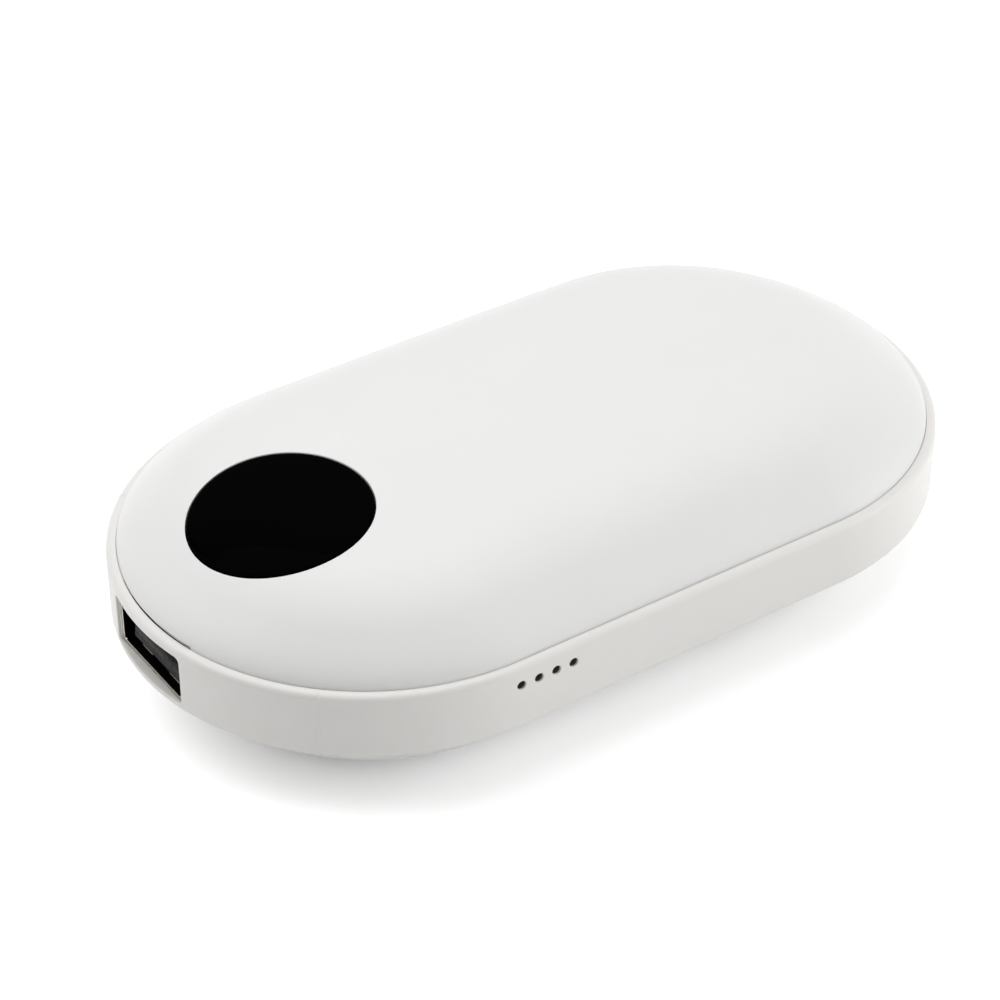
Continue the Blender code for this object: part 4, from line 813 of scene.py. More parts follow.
@dataclass
class TopShell:
    """Crowned shell with the button's hole, the slit over the socket, and its inner ribs, posts and clips."""

    shoulder_share: float = 0.86
    shoulder_drop: float = 1.25
    shoulder_foot: float = 0.05
    shoulder_steps: int = 14
    inner_share: float = 0.95
    mouth: float = 0.12
    slit_angle: float = 14.95
    slit_depth: float = 0.4
    slit_low: float = 0.04
    slit_high: float = 0.34
    ring_pitch: float = 0.6
    hole_steps: int = 120
    hole_rings: tuple[float, ...] = (0.25, 0.6, 1.1)
    hole_margin: float = 1.6
    seam_radius: float = 28.76
    guide_thickness: float = 1.0
    post_circle: float = 12.8
    post_radius: float = 0.9
    post_angles: tuple[float, ...] = (95, 130, -130, -95)
    rib_starts: tuple[tuple[str, float], ...] = (("near", 9.4), ("far", 4.0))
    clips: tuple[Plan, ...] = ((0, 90), (0, -90), (1, 90), (1, -90), (1, 0), (-1, 125), (-1, -125))

    def build(self) -> bpy.types.Object:
        """Makes the shell.

        Returns:
            The new object.
        """
        draft = Draft()
        reach, inner_reach = self.shoulder_share * FORM.rim_radius, self.inner_share * FORM.inner_rim_radius
        self.dome(draft, FORM.top_outside, reach, self.mouth)
        self.dome(draft, FORM.top_inside, inner_reach, 0)
        self.rim(draft, reach)
        rings = [lay(self.hole(grow), FORM.top_outside, -depth) for grow, depth in rounding(self.mouth)]
        draft.loft([*rings, lay(self.hole(), FORM.top_inside)])
        self.inner_forms(draft)
        return draft.made("top_shell_skin", even=True)

    def hole(self, grow: float = 0.0) -> list[Plan]:
        """Gives the outline of the button's hole, grown by a distance."""
        return circle(FORM.button_radius + grow, self.hole_steps, (FORM.button_x, 0.0))

    def extra(self) -> tuple[float, ...]:
        """Gives the travels just inside and outside the slit's blunt ends."""
        ends = [math.radians(self.slit_angle + change) * FORM.end_radius for change in (-0.03, 0.03)]
        return (*ends, *(-end for end in ends))

    def slit(self, travel: float) -> Plan:
        """Gives the slit's rise over the seam and its depth.

        Args:
            travel: Travel along the rim.

        Returns:
            The rise and the depth there.
        """
        angle = math.degrees(travel / FORM.end_radius)
        if abs(angle) > self.slit_angle:
            return -0.2, 0.0
        share = (angle + self.slit_angle) / (2 * self.slit_angle)
        return self.slit_low + (self.slit_high - self.slit_low) * share, self.slit_depth

    def dome(self, draft: Draft, height: Height, reach: float, mouth: float) -> None:
        """Adds one face of the dome round the button's hole.

        Args:
            draft: Mesh that takes the face.
            height: The face's height.
            reach: Radius where the face ends.
            mouth: How much wider than the button's hole the face's own hole is.
        """
        fill = [point for grow in self.hole_rings for point in self.hole(mouth + grow)]
        spine = [(FORM.half_straight * (step / 20 - 1), 0.0) for step in range(41)]
        guard = FORM.button_radius + mouth + self.hole_margin
        count = round(reach / self.ring_pitch)
        for step in range(count):
            ring = FORM.outline(reach * step / count, self.extra()) if step else spine
            fill += [point for point in ring if math.dist(point, (FORM.button_x, 0.0)) > guard]
        loops = [FORM.outline(reach, self.extra()), self.hole(mouth)]
        draft.patch(loops, fill, lambda x, y: (x, y, height(x, y)))

    def rim(self, draft: Draft, reach: float) -> None:
        """Adds the shoulder, the rim's wall with the slit, its foot and the inner edge.

        Args:
            draft: Mesh that takes the rim.
            reach: Radius where the outer face ends.
        """
        travels = FORM.stations(self.extra())[:-1]
        rings = []
        for share in spread(0, 1, self.shoulder_steps):
            radius = slowing(reach, self.seam_radius, share)
            ring = []
            for travel in travels:
                start, seam = FORM.top_outside(*FORM.plan(travel, reach)), FORM.upper_seam
                height = bend(start, seam + self.shoulder_drop, seam + self.shoulder_foot, share)
                ring.append((*FORM.plan(travel, radius), max(height, seam + self.slit(travel)[0])))
            rings.append(ring)
        for inward, deep in ((0, 0), (1, 0), (1, 1)):
            ring = []
            for travel in travels:
                rise, depth = self.slit(travel)
                place = FORM.plan(travel, self.seam_radius - inward * depth)
                ring.append((*place, FORM.top_rim if deep else FORM.upper_seam + rise))
            rings.append(ring)
        rings.append(lay((FORM.plan(travel, FORM.inner_rim_radius) for travel in travels), FORM.top_rim))
        for share in (1.0, 0.99, 0.98, 0.97, 0.96, self.inner_share):
            places = [FORM.plan(travel, share * FORM.inner_rim_radius) for travel in travels]
            rings.append(lay(places, FORM.top_inside))
        draft.loft(rings)

    def inner_forms(self, draft: Draft) -> None:
        """Adds the ribs over the cell holders, the guide's posts and the snap clips.

        Args:
            draft: Mesh that takes them.
        """
        fittings = ShellFittings(FORM.top_wall, 1, self.clips)
        for end, start in self.rib_starts:
            fittings.add_ribs(draft, end, start)
        post_end = node_box("button_guide")[1].z - self.guide_thickness
        for angle in self.post_angles:
            turn = math.radians(angle)
            centre = (FORM.button_x + self.post_circle * math.cos(turn), self.post_circle * math.sin(turn))
            outline = circle(self.post_radius, 20, centre)
            draft.loft([lay(outline, FORM.top_wall), lay(outline, post_end)], caps=True)
        fittings.add_clips(draft)


@dataclass
class BottomShell:
    """Shell that the part rests on, with its inner ribs, screw bosses and snap clips."""

    shoulder_share: float = 0.9
    shoulder_drop: float = 0.8
    shoulder_foot: float = 0.1
    shoulder_steps: int = 12
    ring_pitch: float = 0.7
    inner_steps: int = 20
    boss_radius: float = 2.2
    bore_radius: float = 1.2
    rib_start: float = 4.0
    clips: tuple[Plan, ...] = ((0.4, 90), (0.4, -90), (1, 25), (1, -25))

    def build(self) -> bpy.types.Object:
        """Makes the shell.

        Returns:
            The new object.
        """
        draft = Draft()
        reach = self.shoulder_share * FORM.rim_radius
        count = round(reach / self.ring_pitch)
        rings = [lay(FORM.outline(reach * step / count), FORM.bottom_outside) for step in range(count + 1)]
        start = FORM.bottom_outside(*FORM.plan(0, reach))
        for share in spread(0, 1, self.shoulder_steps)[1:]:
            seam = FORM.lower_seam
            height = bend(start, seam - self.shoulder_drop, seam - self.shoulder_foot, share)
            rings.append(lay(FORM.outline(slowing(reach, FORM.rim_radius, share)), height))
        rings += [lay(FORM.outline(radius), FORM.bottom_rim) for radius in (FORM.rim_radius, FORM.inner_rim_radius)]
        for share in spread(0, 1, self.inner_steps):
            rings.append(lay(FORM.outline(FORM.inner_rim_radius * (1 - share**1.6)), FORM.bottom_inside))
        draft.loft(rings)
        fittings = ShellFittings(FORM.bottom_wall, -1, self.clips)
        for end in ("near", "far"):
            fittings.add_ribs(draft, end, self.rib_start)
        self.bosses(draft)
        fittings.add_clips(draft)
        return draft.made("bottom_shell_skin", even=True)

    def bosses(self, draft: Draft) -> None:
        """Adds the hollow bosses that take the board's screws.

        Args:
            draft: Mesh that takes the bosses.
        """
        top = node_box("main_board")[0].z - FORM.seat_gap
        for number in range(1, 5):
            low, high = node_box(f"board_screw_{number}")
            x, y = (low.x + high.x) / 2, (low.y + high.y) / 2
            outer, bore = circle(self.boss_radius, 24, (x, y)), circle(self.bore_radius, 24, (x, y))
            floor = max(FORM.bottom_inside(x, y), low.z - FORM.seat_gap)
            rings = [lay(outer, FORM.bottom_wall), lay(outer, top), lay(bore, top), lay(bore, floor)]
            draft.loft(rings, caps=True)


class Side(Enum):
    """Side of the band that an opening goes through."""

    NEAR_END = "near end"
    FRONT = "front"
    BACK = "back"


@dataclass(frozen=True)
class Opening:
    """Hole through the band's wall with a softly rounded mouth."""

    side: Side
    across: float
    height: float
    width: float
    tall: float
    corner: float
    mouth: float
    depth: float
    steps: int = 6

    def loop(self, grow: float = 0.0) -> list[Plan]:
        """Gives the opening's outline.

        Args:
            grow: How much it is grown on every side.

        Returns:
            Points as (across, height).
        """
        corner = max(self.corner + grow, 0.02)
        outline = rounded_rectangle(self.width + 2 * grow, self.tall + 2 * grow, corner, self.steps)
        return [(self.across + x, self.height + z) for x, z in outline]

    def travel(self, across: float, radius: float) -> float:
        """Gives the travel along the band of a place on this side.

        Args:
            across: The place, along this side.
            radius: Radius of the wall.

        Returns:
            The travel.
        """
        if self.side is Side.NEAR_END:
            return -math.asin(across / radius) * FORM.end_radius
        past = across + FORM.half_straight
        travel = FORM.quarter + past if past >= 0 else FORM.end_radius * math.acos(-past / radius)
        return travel if self.side is Side.FRONT else -travel

    def point(self, across: float, height: float, depth: float) -> Point:
        """Gives the point at a depth behind the band's outer face.

        Args:
            across: Place along this side.
            height: Height of the point.
            depth: Depth of the point.

        Returns:
            The point.
        """
        radius = FORM.end_radius
        if self.side is Side.NEAR_END:
            return -FORM.half_straight - math.sqrt(radius**2 - across**2) + depth, across, height
        past = min(across + FORM.half_straight, 0)
        out = math.sqrt(radius**2 - past**2) - depth
        return across, (-out if self.side is Side.FRONT else out), height

    def ring(self, grow: float, depth: float) -> list[Point]:
        """Gives the grown outline at a depth that follows the band's outer face."""
        return [self.point(across, height, depth) for across, height in self.loop(grow)]

    def flat_loop(self, grow: float) -> list[Plan]:
        """Gives the outline on the unrolled wall as (travel, height)."""
        return [(self.travel(across, FORM.end_radius), height) for across, height in self.loop(grow)]

    def tunnel(self, draft: Draft) -> None:
        """Adds the rounded mouth and the hole's wall, which ends in one plane.

        Args:
            draft: Mesh that takes them.
        """
        rings = [self.ring(grow, depth) for grow, depth in rounding(self.mouth)]
        end = self.point(self.across, self.height, self.depth)
        last = []
        for x, y, z in self.ring(0.0, self.depth):
            last.append((end[0], y, z) if self.side is Side.NEAR_END else (x, end[1], z))
        rim = rings[-1]
        for share in (0.1, 0.35):
            rings.append([between(start, stop, share) for start, stop in zip(rim, last)])
        draft.loft([*rings, last])
        draft.cap(last)


@dataclass
class MiddleBand:
    """Band between the shells: rounded lip, crisp lower edge, rebates, catch rib and its openings."""

    lip_fillet: float = 0.8
    lower_fillet: float = 0.35
    rebate_depth: float = 0.8
    rebate_ease: float = 0.06
    wall_rows: int = 6
    opening_margin: float = 0.45
    opening_rings: tuple[float, ...] = (0.12, 0.3)
    pocket_width: float = 13.4
    pocket_corner: float = 0.6
    pocket_reach: Plan = (-50.95, -46.5)
    hole_end: float = 3.4
    # Reach of the light holes' painted shade: round each hole's middle, and from this depth behind the outer face
    # inwards.
    hole_shade_radius: float = 0.6
    hole_shade_start: float = 0.22
    rib_from_port: float = 8.0
    rib_from_inlet: Plan = (2.6, 8.6)
    rib_root: float = 0.3
    witness_angles: tuple[float, ...] = (46.4, -46.4)
    witness_width: float = 0.17
    witness_rise: float = 0.05
    witness_steps: int = 8
    port: Opening = Opening(Side.NEAR_END, 0, 12.7, 13.8, 6.3, 0.6, 0.2, 1.18)
    inlet: Opening = Opening(Side.BACK, -19, 11.0, 8.2, 3.4, 0.6, 0.12, 1.1)
    lights: tuple[Opening, ...] = tuple(
        Opening(Side.FRONT, x, 14.6, 1.1, 1.1, 0.55, 0.1, 1.5, 8) for x in (-22.4, -20.13, -17.86, -15.59)
    )

    @property
    def openings(self) -> list[Opening]:
        """Every opening of the band."""
        return [self.port, self.inlet, *self.lights]

    @property
    def face(self) -> Plan:
        """Lowest and highest height of the outer wall between its two fillets."""
        return FORM.lower_seam + self.lower_fillet, FORM.upper_seam - self.lip_fillet

    def build(self) -> bpy.types.Object:
        """Makes the band.

        Returns:
            The new object.
        """
        draft = Draft()
        self.section(draft)
        self.wall(draft)
        for opening in self.openings:
            opening.tunnel(draft)
        made = draft.made("middle_band")
        carve(made, self.pocket())
        for opening in (self.inlet, *self.lights):
            carve(made, self.way_through(opening))
        self.add_relief(made)
        shade(made, 32)
        even_shading(made)
        return made

    def in_light_hole(self, middle: Vector, normal: Vector) -> bool:
        """Tells whether a face of the band is the wall of a light hole, past its mouth, where the painted shade goes.

        Args:
            middle: The face's middle.
            normal: The face's normal, which doesn't matter here.

        Returns:
            True for such a face.
        """
        deep = self.hole_shade_start - FORM.end_radius < middle.y < 0
        places = [(hole.across, hole.height) for hole in self.lights]
        return deep and any(math.hypot(middle.x - x, middle.z - z) < self.hole_shade_radius for x, z in places)

    def section(self, draft: Draft) -> None:
        """Adds every face of the band but its outer wall.

        Args:
            draft: Mesh that takes them.
        """
        low, high = FORM.lower_seam, FORM.upper_seam
        rebate, ease, inner = FORM.rebate_radius, self.rebate_ease, FORM.band_inner_radius
        profile = [
            *arc((FORM.end_radius - self.lip_fillet, high - self.lip_fillet), self.lip_fillet, 0, 90, 10),
            (rebate + ease, high),
            (rebate, high - ease),
            (rebate, high - self.rebate_depth),
            (inner, high - self.rebate_depth),
            (inner, low + self.rebate_depth),
            (rebate, low + self.rebate_depth),
            (rebate, low + ease),
            (rebate + ease, low),
            *arc((FORM.end_radius - self.lower_fillet, low + self.lower_fillet), self.lower_fillet, -90, 0, 6),
        ]
        draft.loft([lay(FORM.outline(radius), height) for radius, height in profile])

    def wall(self, draft: Draft) -> None:
        """Adds the outer wall with the mouths of the openings.

        Args:
            draft: Mesh that takes it.
        """
        low, high = self.face
        travels = FORM.stations()
        rows = spread(low, high, self.wall_rows)
        outline = [(travel, low) for travel in travels]
        outline += [(travels[-1], row) for row in rows[1:-1]]
        outline += [(travel, high) for travel in reversed(travels)]
        outline += [(travels[0], row) for row in reversed(rows[1:-1])]
        loops = [opening.flat_loop(opening.mouth) for opening in self.openings]
        fill = [(travel, row) for travel in travels[1:-1] for row in rows[1:-1]]
        for opening in self.openings:
            guard = opening.flat_loop(opening.mouth + self.opening_margin)
            fill = [point for point in fill if not within(point, guard)]
        for opening in self.openings:
            for grow in self.opening_rings:
                fill += [p for p in opening.flat_loop(opening.mouth + grow) if low + 0.05 < p[1] < high - 0.05]
        draft.patch([outline, *loops], fill, lambda u, z: (*FORM.plan(u, FORM.end_radius), z))

    def pocket(self) -> bpy.types.Object:
        """Makes the cutter of the pocket that takes the socket's sleeve behind the port.

        Returns:
            The new object.
        """
        draft = Draft()
        low, high = FORM.bottom_rim, FORM.top_rim
        outline = rounded_rectangle(self.pocket_width, high - low, self.pocket_corner)
        draft.loft([upright(outline, (x, 0, (low + high) / 2)) for x in self.pocket_reach], caps=True)
        return draft.made("pocket_cutter")

    def way_through(self, opening: Opening) -> bpy.types.Object:
        """Makes the cutter that opens a hole's far end into the housing.

        Args:
            opening: The hole.

        Returns:
            The new object.
        """
        draft = Draft()
        draft.loft([opening.ring(-0.03, depth) for depth in (opening.depth - 0.3, self.hole_end)], caps=True)
        return draft.made("hole_cutter")

    def add_relief(self, band: bpy.types.Object) -> None:
        """Adds the catch rib inside and the mould's fine witness lines outside.

        Args:
            band: The band so far.
        """
        draft = Draft(band.data)
        inner, half = FORM.band_inner_radius, FORM.catch_rib_height / 2
        root, tip = inner + self.rib_root, inner - FORM.catch_rib_depth
        section = rectangle(root, tip, FORM.middle - half, FORM.middle + half)
        before, past = FORM.quarter - self.rib_from_inlet[0], FORM.quarter + self.rib_from_inlet[1]
        parts = ((self.rib_from_port, FORM.half_way), (-before, -self.rib_from_port), (-FORM.half_way, -past))
        for start, end in parts:
            travels = [start, *(u for u in FORM.stations() if start < u < end), end]
            draft.loft([[(*FORM.plan(u, radius), z) for radius, z in section] for u in travels], caps=True)
        for angle in self.witness_angles:
            self.witness_line(draft, math.radians(angle) * FORM.end_radius)
        draft.write(band.data)

    def witness_line(self, draft: Draft, middle: float) -> None:
        """Adds the fine ridge where two slides of the mould met, up the wall and over the lip.

        Args:
            draft: Mesh that takes the ridge.
            middle: The ridge's travel along the band.
        """
        bottom, top = self.face
        lip = arc((FORM.end_radius - self.lip_fillet, top), self.lip_fillet, 0, 90, self.witness_steps)
        half = self.witness_width / 2
        rings = []
        for number, (radius, z) in enumerate([(FORM.end_radius, bottom), (FORM.end_radius, top), *lip[1:]]):
            turn = math.radians(90 * max(0, number - 1) / self.witness_steps)
            out, up = self.witness_rise * math.cos(turn), self.witness_rise * math.sin(turn)
            feet = [(*FORM.plan(middle + side * half, radius - out), z - up) for side in (-1, 1)]
            rings.append([feet[0], (*FORM.plan(middle, radius + out), z + up), feet[1]])
        draft.loft(rings, caps=True)


@dataclass
class PressButton:
    """Gloss disc that continues the dome, with the flange that holds it under the shell and its stem."""

    running_gap: float = 0.15
    edge_fillet: float = 0.14
    flange_width: float = 1.1
    flange_thickness: float = 0.8
    flange_rings: tuple[float, ...] = (0.3, 0.5, 0.7, 0.85, 1.0)
    stem_radius: float = 1.6
    stem_ease: float = 0.2
    stem_root: float = 0.3
    face_rings: int = 20
    steps: int = 120

    def build(self) -> bpy.types.Object:
        """Makes the button's cap.

        Returns:
            The new object.
        """

        def ring(radius: float, height: float | Height, change: float = 0.0) -> list[Point]:
            """Gives a ring round the button's axis."""
            return lay(circle(radius, self.steps, (FORM.button_x, 0.0)), height, change)

        edge = FORM.button_radius - self.running_gap
        flange = FORM.button_radius + self.flange_width
        under = -FORM.seat_gap - self.flange_thickness
        stem_end = node_box("button_cap")[0].z
        tip = ring(self.stem_radius - self.stem_ease, stem_end)
        rings = [
            tip,
            ring(self.stem_radius, stem_end + self.stem_ease),
            ring(self.stem_radius, FORM.top_inside, under - self.stem_root),
            ring(self.stem_radius + self.stem_root, FORM.top_inside, under),
            *(ring(flange * share, FORM.top_inside, under) for share in self.flange_rings),
            ring(flange, FORM.top_inside, -FORM.seat_gap),
            ring(edge, FORM.top_inside, -FORM.seat_gap),
        ]
        for grow, depth in reversed(rounding(self.edge_fillet, 6)):
            rings.append(ring(edge - grow, FORM.top_outside, -depth))
        for step in range(1, self.face_rings + 1):
            rings.append(ring((edge - self.edge_fillet) * (1 - step / self.face_rings), FORM.top_outside))
        draft = Draft()
        draft.loft(rings)
        draft.cap(tip)
        return draft.made("button_disc", even=True)


# Sockets


@dataclass
class Socket:
    """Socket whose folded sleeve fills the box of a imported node."""

    node: str = "usb_socket_shell"
    along: bool = False
    sheet: float = 0.3
    corner: float = 0.6
    block_inset: float = 0.6
    low: Vector = field(init=False)
    high: Vector = field(init=False)
    middle: float = field(init=False)
    x: float = field(init=False)
    width: float = field(init=False)
    tall: float = field(init=False)

    def __post_init__(self) -> None:
        """Reads the sleeve's box and takes its middle and size."""
        self.low, self.high = node_box(self.node)
        self.middle = (self.low.z + self.high.z) / 2
        self.x = (self.low.x + self.high.x) / 2
        self.width = self.high.x - self.low.x if self.along else self.high.y - self.low.y
        self.tall = self.high.z - self.low.z

    def ring(self, outline: Sequence[Plan], depth_place: float) -> list[Point]:
        """Stands an outline up round the sleeve's axis at a place along it."""
        place = (self.x, depth_place, self.middle) if self.along else (depth_place, 0.0, self.middle)
        return upright(outline, place, self.along)

    def sleeve(self, name: str) -> bpy.types.Object:
        """Makes the sleeve, whose front edge is softly rounded.

        Args:
            name: Name of the new piece.

        Returns:
            The new object.
        """
        front, back, way = (self.high.y, self.low.y, -1) if self.along else (self.low.x, self.high.x, 1)
        half = self.sheet / 2

        def outline(grow: float) -> list[Plan]:
            """Gives the sleeve's section, grown on every side."""
            return rounded_rectangle(self.width + 2 * grow, self.tall + 2 * grow, self.corner + grow)

        rings = []
        for turn in (math.radians(angle) for angle in range(0, 181, 30)):
            setback = half * (1 - math.sin(turn))
            rings.append(self.ring(outline(-half - half * math.cos(turn)), front + way * setback))
        rings += [self.ring(outline(0), back), self.ring(outline(-self.sheet), back)]
        draft = Draft()
        draft.loft(rings, closed=True)
        return draft.made(name)

    def add_block(self, draft: Draft, reach: Plan, corner: float) -> None:
        """Adds the block that fills the sleeve's back.

        Args:
            draft: Mesh that takes the block.
            reach: Places of the block's two ends along the sleeve.
            corner: Radius of the block's corners.
        """
        inset = 2 * self.block_inset
        outline = rounded_rectangle(self.width - inset, self.tall - inset, corner)
        draft.loft([self.ring(outline, place) for place in reach], caps=True)


@dataclass
class OutputSocket(Socket):
    """Folded sleeve of the output socket, its sprung fingers and the tongue."""

    edge_reach: float = 0.14
    tongue_width: float = 11.1
    tongue_thickness: float = 1.84
    tongue_lift: float = 0.65
    tongue_chamfer: float = 0.4
    strip: float = 0.74
    groove_play: Point = (0.3, 0.15, 0.3)
    block_length: float = 3.5
    finger_width: float = 2.2
    finger_place: float = 3.0
    finger_ease: float = 0.06
    finger_profile: tuple[Plan, ...] = ((1.02, 0.0), (1.12, 0.2), (1.25, 0.31), (1.45, 0.36), (3.4, 0.3), (5.9, 0.0))
    floor: float = field(init=False)
    tongue_foot: float = field(init=False)
    tongue_front: float = field(init=False)

    def __post_init__(self) -> None:
        """Adds the heights of the inner floor and the tongue, and the tongue's front."""
        super().__post_init__()
        self.floor = self.low.z + self.sheet
        self.tongue_foot = self.floor + self.tongue_lift
        self.tongue_front = node_box("usb_socket_tongue")[0].x

    def build(self, wardrobe: Wardrobe) -> None:
        """Makes and dresses the sleeve, the fingers and the tongue.

        Args:
            wardrobe: Where the finishes come from.
        """
        # The sleeve is near black as painted shade for the socket's inside; its front edge takes bright steel.
        sleeve = wardrobe.settle(self.sleeve("socket_sleeve"), "dark_steel", "usb_socket_shell")
        wardrobe.accent(sleeve, SHEARED_STEEL, self.on_edge)
        wardrobe.settle(self.fingers(), "nickel", finish=SPRING_BRONZE)
        tongue = wardrobe.settle(self.tongue(), "tongue_plastic", "usb_socket_tongue")
        wardrobe.accent(tongue, SMOOTH_POLYMER, self.on_strip)

    def on_edge(self, middle: Vector, normal: Vector) -> bool:
        """Tells whether a face of the sleeve lies on the outer part of its sheared front edge.

        Args:
            middle: The face's middle.
            normal: The face's normal.

        Returns:
            True for such a face.
        """
        side = abs(middle.y) > self.width / 2 - self.corner
        turn, place = (normal.y, middle.y) if side else (normal.z, middle.z - self.middle)
        return middle.x < self.low.x + self.edge_reach and math.copysign(turn, place * turn) > -0.45

    def on_strip(self, middle: Vector, normal: Vector) -> bool:
        """Tells whether a face of the tongue lies on the smooth strip of its front."""
        return middle.x < self.tongue_front + 0.05 and middle.z < self.tongue_foot + self.strip

    def fingers(self) -> bpy.types.Object:
        """Makes the two sprung fingers, whose steep tips stand up from the sleeve's floor near its mouth.

        Returns:
            The new object.
        """
        draft = Draft()
        low, ease = self.floor - 0.15, self.finger_ease
        for side in (1, -1):
            near, far = (side * self.finger_place + change * self.finger_width / 2 for change in (-1, 1))
            rings = []
            for setback, rise in self.finger_profile:
                top = self.floor + 0.02 + rise
                left = ((near, low), (near, top - ease), (near + ease, top))
                right = ((far - ease, top), (far, top - ease), (far, low))
                rings.append(upright((*left, *right), (self.low.x + setback, 0, 0)))
            draft.loft(rings, caps=True)
        return draft.made("socket_fingers")

    def tongue(self) -> bpy.types.Object:
        """Makes the tongue with its contact grooves and the block that fills the sleeve's back.

        Returns:
            The new object.
        """
        block_front = self.high.x - self.block_length
        low, ledge, high = self.tongue_foot, self.tongue_foot + self.strip, self.tongue_foot + self.tongue_thickness
        profile = (
            (low, 0.08), (low + 0.08, 0.0), (ledge, 0.0), (ledge + 0.02, 0.09),
            (ledge + 0.07, 0.09), (ledge + 0.1, 0.03), (high - 0.3, 0.05), (high, 0.35),
        )
        draft = Draft()
        draft.loft([self.tongue_outline(height, inset, block_front) for height, inset in profile], caps=True)
        made = draft.made("socket_tongue", 50)
        along, aside, below = self.groove_play
        for number in range(1, 5):
            near, far = node_box(f"usb_contact_{number}")
            plan = rectangle(near.x - along, far.x + along, near.y - aside, far.y + aside)
            groove = Draft()
            groove.loft([lay(plan, height) for height in (near.z - below, far.z + 1)], caps=True)
            carve(made, groove.made("groove_cutter"))
        whole = Draft(made.data)
        self.add_block(whole, (block_front, self.high.x), 0.3)
        whole.write(made.data)
        shade(made, 50)
        return made

    def tongue_outline(self, height: float, inset: float, block_front: float) -> list[Point]:
        """Gives the tongue's outline at a height, with its two chamfered front corners.

        Args:
            height: The height.
            inset: How far the front stands back there.
            block_front: Front of the block that the tongue stands in.

        Returns:
            The outline's points.
        """
        half, chamfer = self.tongue_width / 2 - min(inset, 0.08), self.tongue_chamfer
        front, back = self.tongue_front + inset, block_front + 0.4
        corners = ((back, half), (front + chamfer, half), (front, half - chamfer))
        return lay([(back, -half), *corners, (front, -half + chamfer), (front + chamfer, -half)], height)


@dataclass
class ChargingInlet(Socket):
    """Folded sleeve of the charging inlet with its tongue and contacts."""

    node: str = "charge_inlet_shell"
    along: bool = True
    tongue_size: Plan = (3.6, 0.6)
    tongue_corner: float = 0.12
    tongue_setback: float = 0.8
    contact_pitch: float = 0.65
    contact_half: float = 0.19
    contact_top: float = -0.2
    contact_profile: tuple[Plan, ...] = ((4.2, 0.02), (1.2, 0.02), (1.0, -0.04))

    def build(self, wardrobe: Wardrobe) -> None:
        """Makes and dresses the sleeve, the tongue and the contacts.

        Args:
            wardrobe: Where the finishes come from.
        """
        wardrobe.settle(self.sleeve("inlet_sleeve"), "steel", "charge_inlet_shell")
        wardrobe.settle(self.tongue(), "black_plastic", "charge_inlet_tongue")
        wardrobe.settle(self.contacts(), "gold_plate")

    def tongue(self) -> bpy.types.Object:
        """Makes the thin tongue and the block behind it.

        Returns:
            The new object.
        """
        draft = Draft()
        back, front, ease = self.low.y, self.high.y - self.tongue_setback, 0.08
        width, tall = self.tongue_size
        rings = []
        for y, inset in ((back + 1.2, 0.0), (front - ease, 0.0), (front, ease)):
            plate = rounded_rectangle(width - 2 * inset, tall - 2 * inset, self.tongue_corner - inset)
            rings.append(self.ring(plate, y))
        draft.loft(rings, caps=True)
        self.add_block(draft, (back, back + 1.6), 0.2)
        return draft.made("inlet_tongue")

    def contacts(self) -> bpy.types.Object:
        """Makes the five contacts on the tongue's lower face.

        Returns:
            The new object.
        """
        draft = Draft()
        for number in range(5):
            left, right = (self.contact_pitch * (number - 2) + side * self.contact_half for side in (-1, 1))
            rings = []
            for setback, drop in self.contact_profile:
                bar = rectangle(left, right, -self.tongue_size[1] / 2 - drop, self.contact_top)
                rings.append(self.ring(bar, self.high.y - setback))
            draft.loft(rings, caps=True)
        return draft.made("inlet_contacts")


# Studio


@dataclass
class Lamp:
    """Soft box aimed at the part."""

    name: str
    place: Point
    size: float
    power: float

    def build(self) -> None:
        """Makes the lamp and turns it to the part."""
        data = bpy.data.lights.new(self.name, "AREA")
        data.shape, data.size, data.energy = "DISK", self.size * MM, self.power
        thing = bpy.data.objects.new(self.name, data)
        bpy.context.scene.collection.objects.link(thing)
        thing.location = Vector(self.place) * MM
        aim = Vector((0, 0, 12 * MM)) - thing.location
        thing.rotation_euler = aim.to_track_quat("-Z", "Y").to_euler()


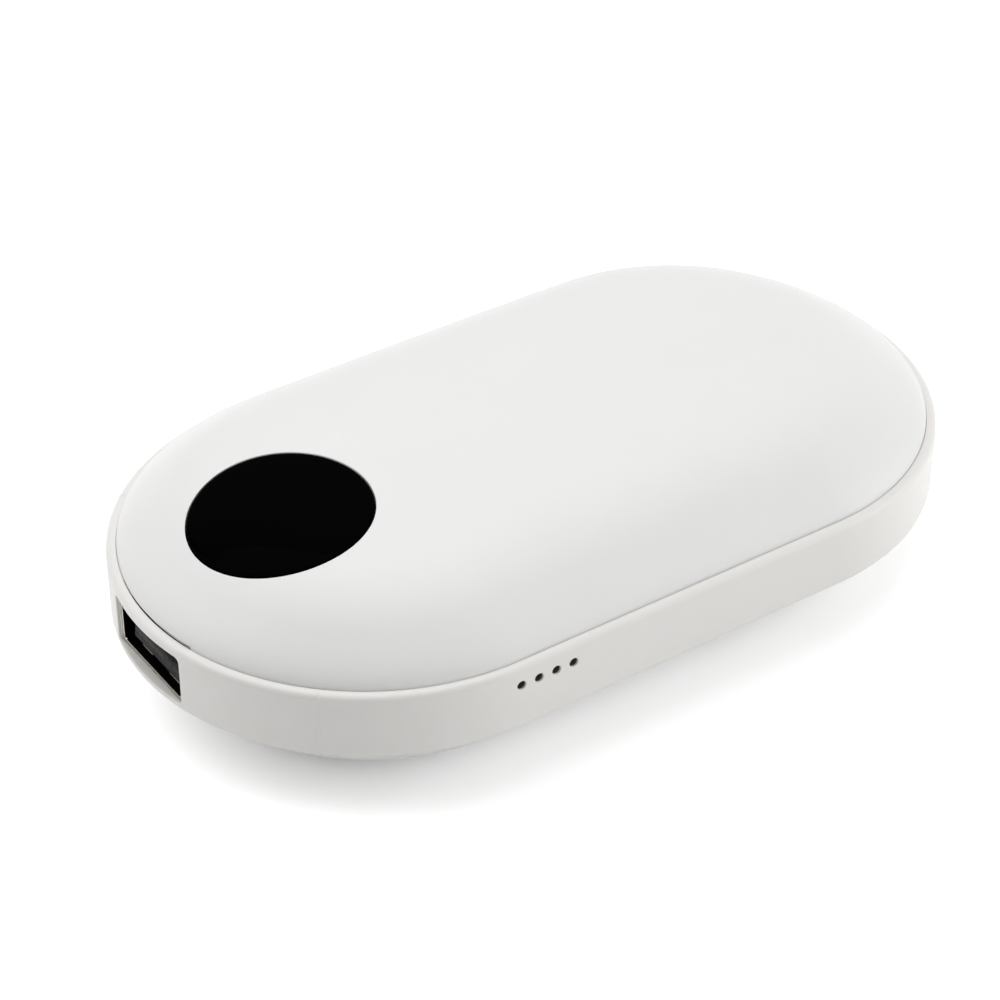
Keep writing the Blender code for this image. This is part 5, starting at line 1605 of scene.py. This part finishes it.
@dataclass
class Studio:
    """Pale floor that curves up to a low backdrop, soft boxes and the camera."""

    floor_radius: float = 1400.0
    floor_bend: float = 260.0
    wall_height: float = 650.0
    floor_tint: str = "#E8E8E8"
    floor_lift: float = 1.7
    floor_glow: float = 0.139
    ambient: float = 0.3
    lens: float = 106.6062
    camera_place: Point = (-161.7671, -227.9463, 216.8308)
    camera_turn: Point = (53.710613, -0.116200, -34.497257)
    lamps: list[Lamp] = field(
        default_factory=lambda: [
            Lamp("overhead soft box", (-40, 120, 720), 900, 2.43),
            Lamp("high back soft box", (150, 520, 560), 700, 1.15),
            Lamp("back left soft box", (-420, 380, 420), 560, 1.2),
            Lamp("right front soft box", (594, -473, 253), 682, 3.17),
        ]
    )

    def build(self) -> None:
        """Makes the floor, the room light, the lamps and the camera."""
        self.floor()
        self.room()
        for lamp in self.lamps:
            lamp.build()
        self.camera()

    def floor(self) -> None:
        """Makes the floor: one round sheet that turns up at its edge."""
        draft = Draft()
        radius, turned = self.floor_radius, self.floor_bend
        profile = [(radius * share, 0.0) for share in (0.0005, 0.1, 0.3, 0.6, 1.0)]
        profile += [(radius + x, z) for x, z in arc((0, turned), turned, -90, 0, 14)[1:]]
        profile.append((radius + turned, self.wall_height))
        draft.loft([lay(circle(reach, 96), height) for reach, height in profile])
        thing = draft.made("studio_floor")
        thing.data.materials.append(self.paper())

    def paper(self) -> bpy.types.Material:
        """Makes the paper, which is lighter for rays from the camera, a mirror or clear plastic.

        Returns:
            The new material.
        """
        made = bpy.data.materials.new("matt white paper sweep")
        tree = fresh_tree(made)
        place = add_node(tree, "TexCoord", output="Object")
        fibre = add_node(tree, "TexNoise", {"Vector": place, "Scale": fineness(0.8), "Detail": 3.0}, "Fac")
        relief = add_node(tree, "Bump", {"Height": fibre, "Distance": 0.01 * MM, "Strength": 1.0})
        path = add_node(tree, "LightPath").node.outputs
        either = {0: path["Is Camera Ray"], 1: path["Is Glossy Ray"]}
        either = {0: add_node(tree, "Math", either, operation="MAXIMUM"), 1: path["Is Transmission Ray"]}
        seen = add_node(tree, "Math", either, operation="MAXIMUM")
        tints = {0: seen, 6: linear(self.floor_tint), 7: linear(self.floor_tint, self.floor_lift)}
        tint = add_node(tree, "Mix", tints, 2, data_type="RGBA")
        paper = add_node(tree, "BsdfDiffuse", {"Color": tint, "Normal": relief})
        strength = add_node(tree, "Math", {0: seen, 1: self.floor_glow}, operation="MULTIPLY")
        glow = add_node(tree, "Emission", {"Color": linear("#FFFFFF"), "Strength": strength})
        add_node(tree, "OutputMaterial", {"Surface": add_node(tree, "AddShader", {0: paper, 1: glow})})
        return made

    def room(self) -> None:
        """Fills the room with a weak even light."""
        world = bpy.data.worlds.new("studio room")
        tree = fresh_tree(world)
        light = add_node(tree, "Background", {"Color": linear("#FFFFFF"), "Strength": self.ambient})
        add_node(tree, "OutputWorld", {"Surface": light})
        bpy.context.scene.world = world

    def camera(self) -> None:
        """Makes the camera where the photograph was taken from."""
        data = bpy.data.cameras.new("studio camera")
        data.lens, data.sensor_width, data.clip_start, data.clip_end = self.lens, 36.0, 0.01, 20.0
        thing = bpy.data.objects.new("studio camera", data)
        bpy.context.scene.collection.objects.link(thing)
        thing.location = Vector(self.camera_place) * MM
        thing.rotation_euler = [math.radians(turn) for turn in self.camera_turn]
        bpy.context.scene.camera = thing


def dress_carried_nodes(wardrobe: Wardrobe) -> None:
    """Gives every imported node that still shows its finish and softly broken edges.

    Args:
        wardrobe: Where the finishes come from.
    """
    slots = {part["node"]: part["material_slot"] for part in frame["record"]["subparts"]}
    for name, thing in frame["nodes"].items():
        wardrobe.dress(thing, slots[name])
        if thing.hide_render:
            continue
        edge = thing.modifiers.new("broken edges", "BEVEL")
        edge.width, edge.segments, edge.limit_method = min(0.08 * MM, 0.12 * min(thing.dimensions)), 2, "ANGLE"
        edge.angle_limit = math.radians(40)
        LOG.info("%s: carried over, %s", name, slots[name])


def main() -> None:
    """Builds the dressed hand warmer and its studio."""
    logging.basicConfig(level=logging.INFO, format="%(name)s: %(message)s")
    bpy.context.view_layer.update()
    bpy.context.scene.view_settings.view_transform = "Standard"
    wardrobe = Wardrobe()
    wardrobe.settle(TopShell().build(), "shell_white", "top_shell")
    wardrobe.settle(BottomShell().build(), "shell_white", "bottom_shell")
    band = MiddleBand()
    piece = wardrobe.settle(band.build(), "band_white", "middle_frame")
    # The light holes' walls take a dark brown as painted shade.
    wardrobe.accent(piece, LIGHT_HOLE_SHADE, band.in_light_hole)
    wardrobe.settle(PressButton().build(), "gloss_black", "button_cap", body="button")
    OutputSocket().build(wardrobe)
    ChargingInlet().build(wardrobe)
    dress_carried_nodes(wardrobe)
    Studio().build()


if __name__ == "__main__":
    main()
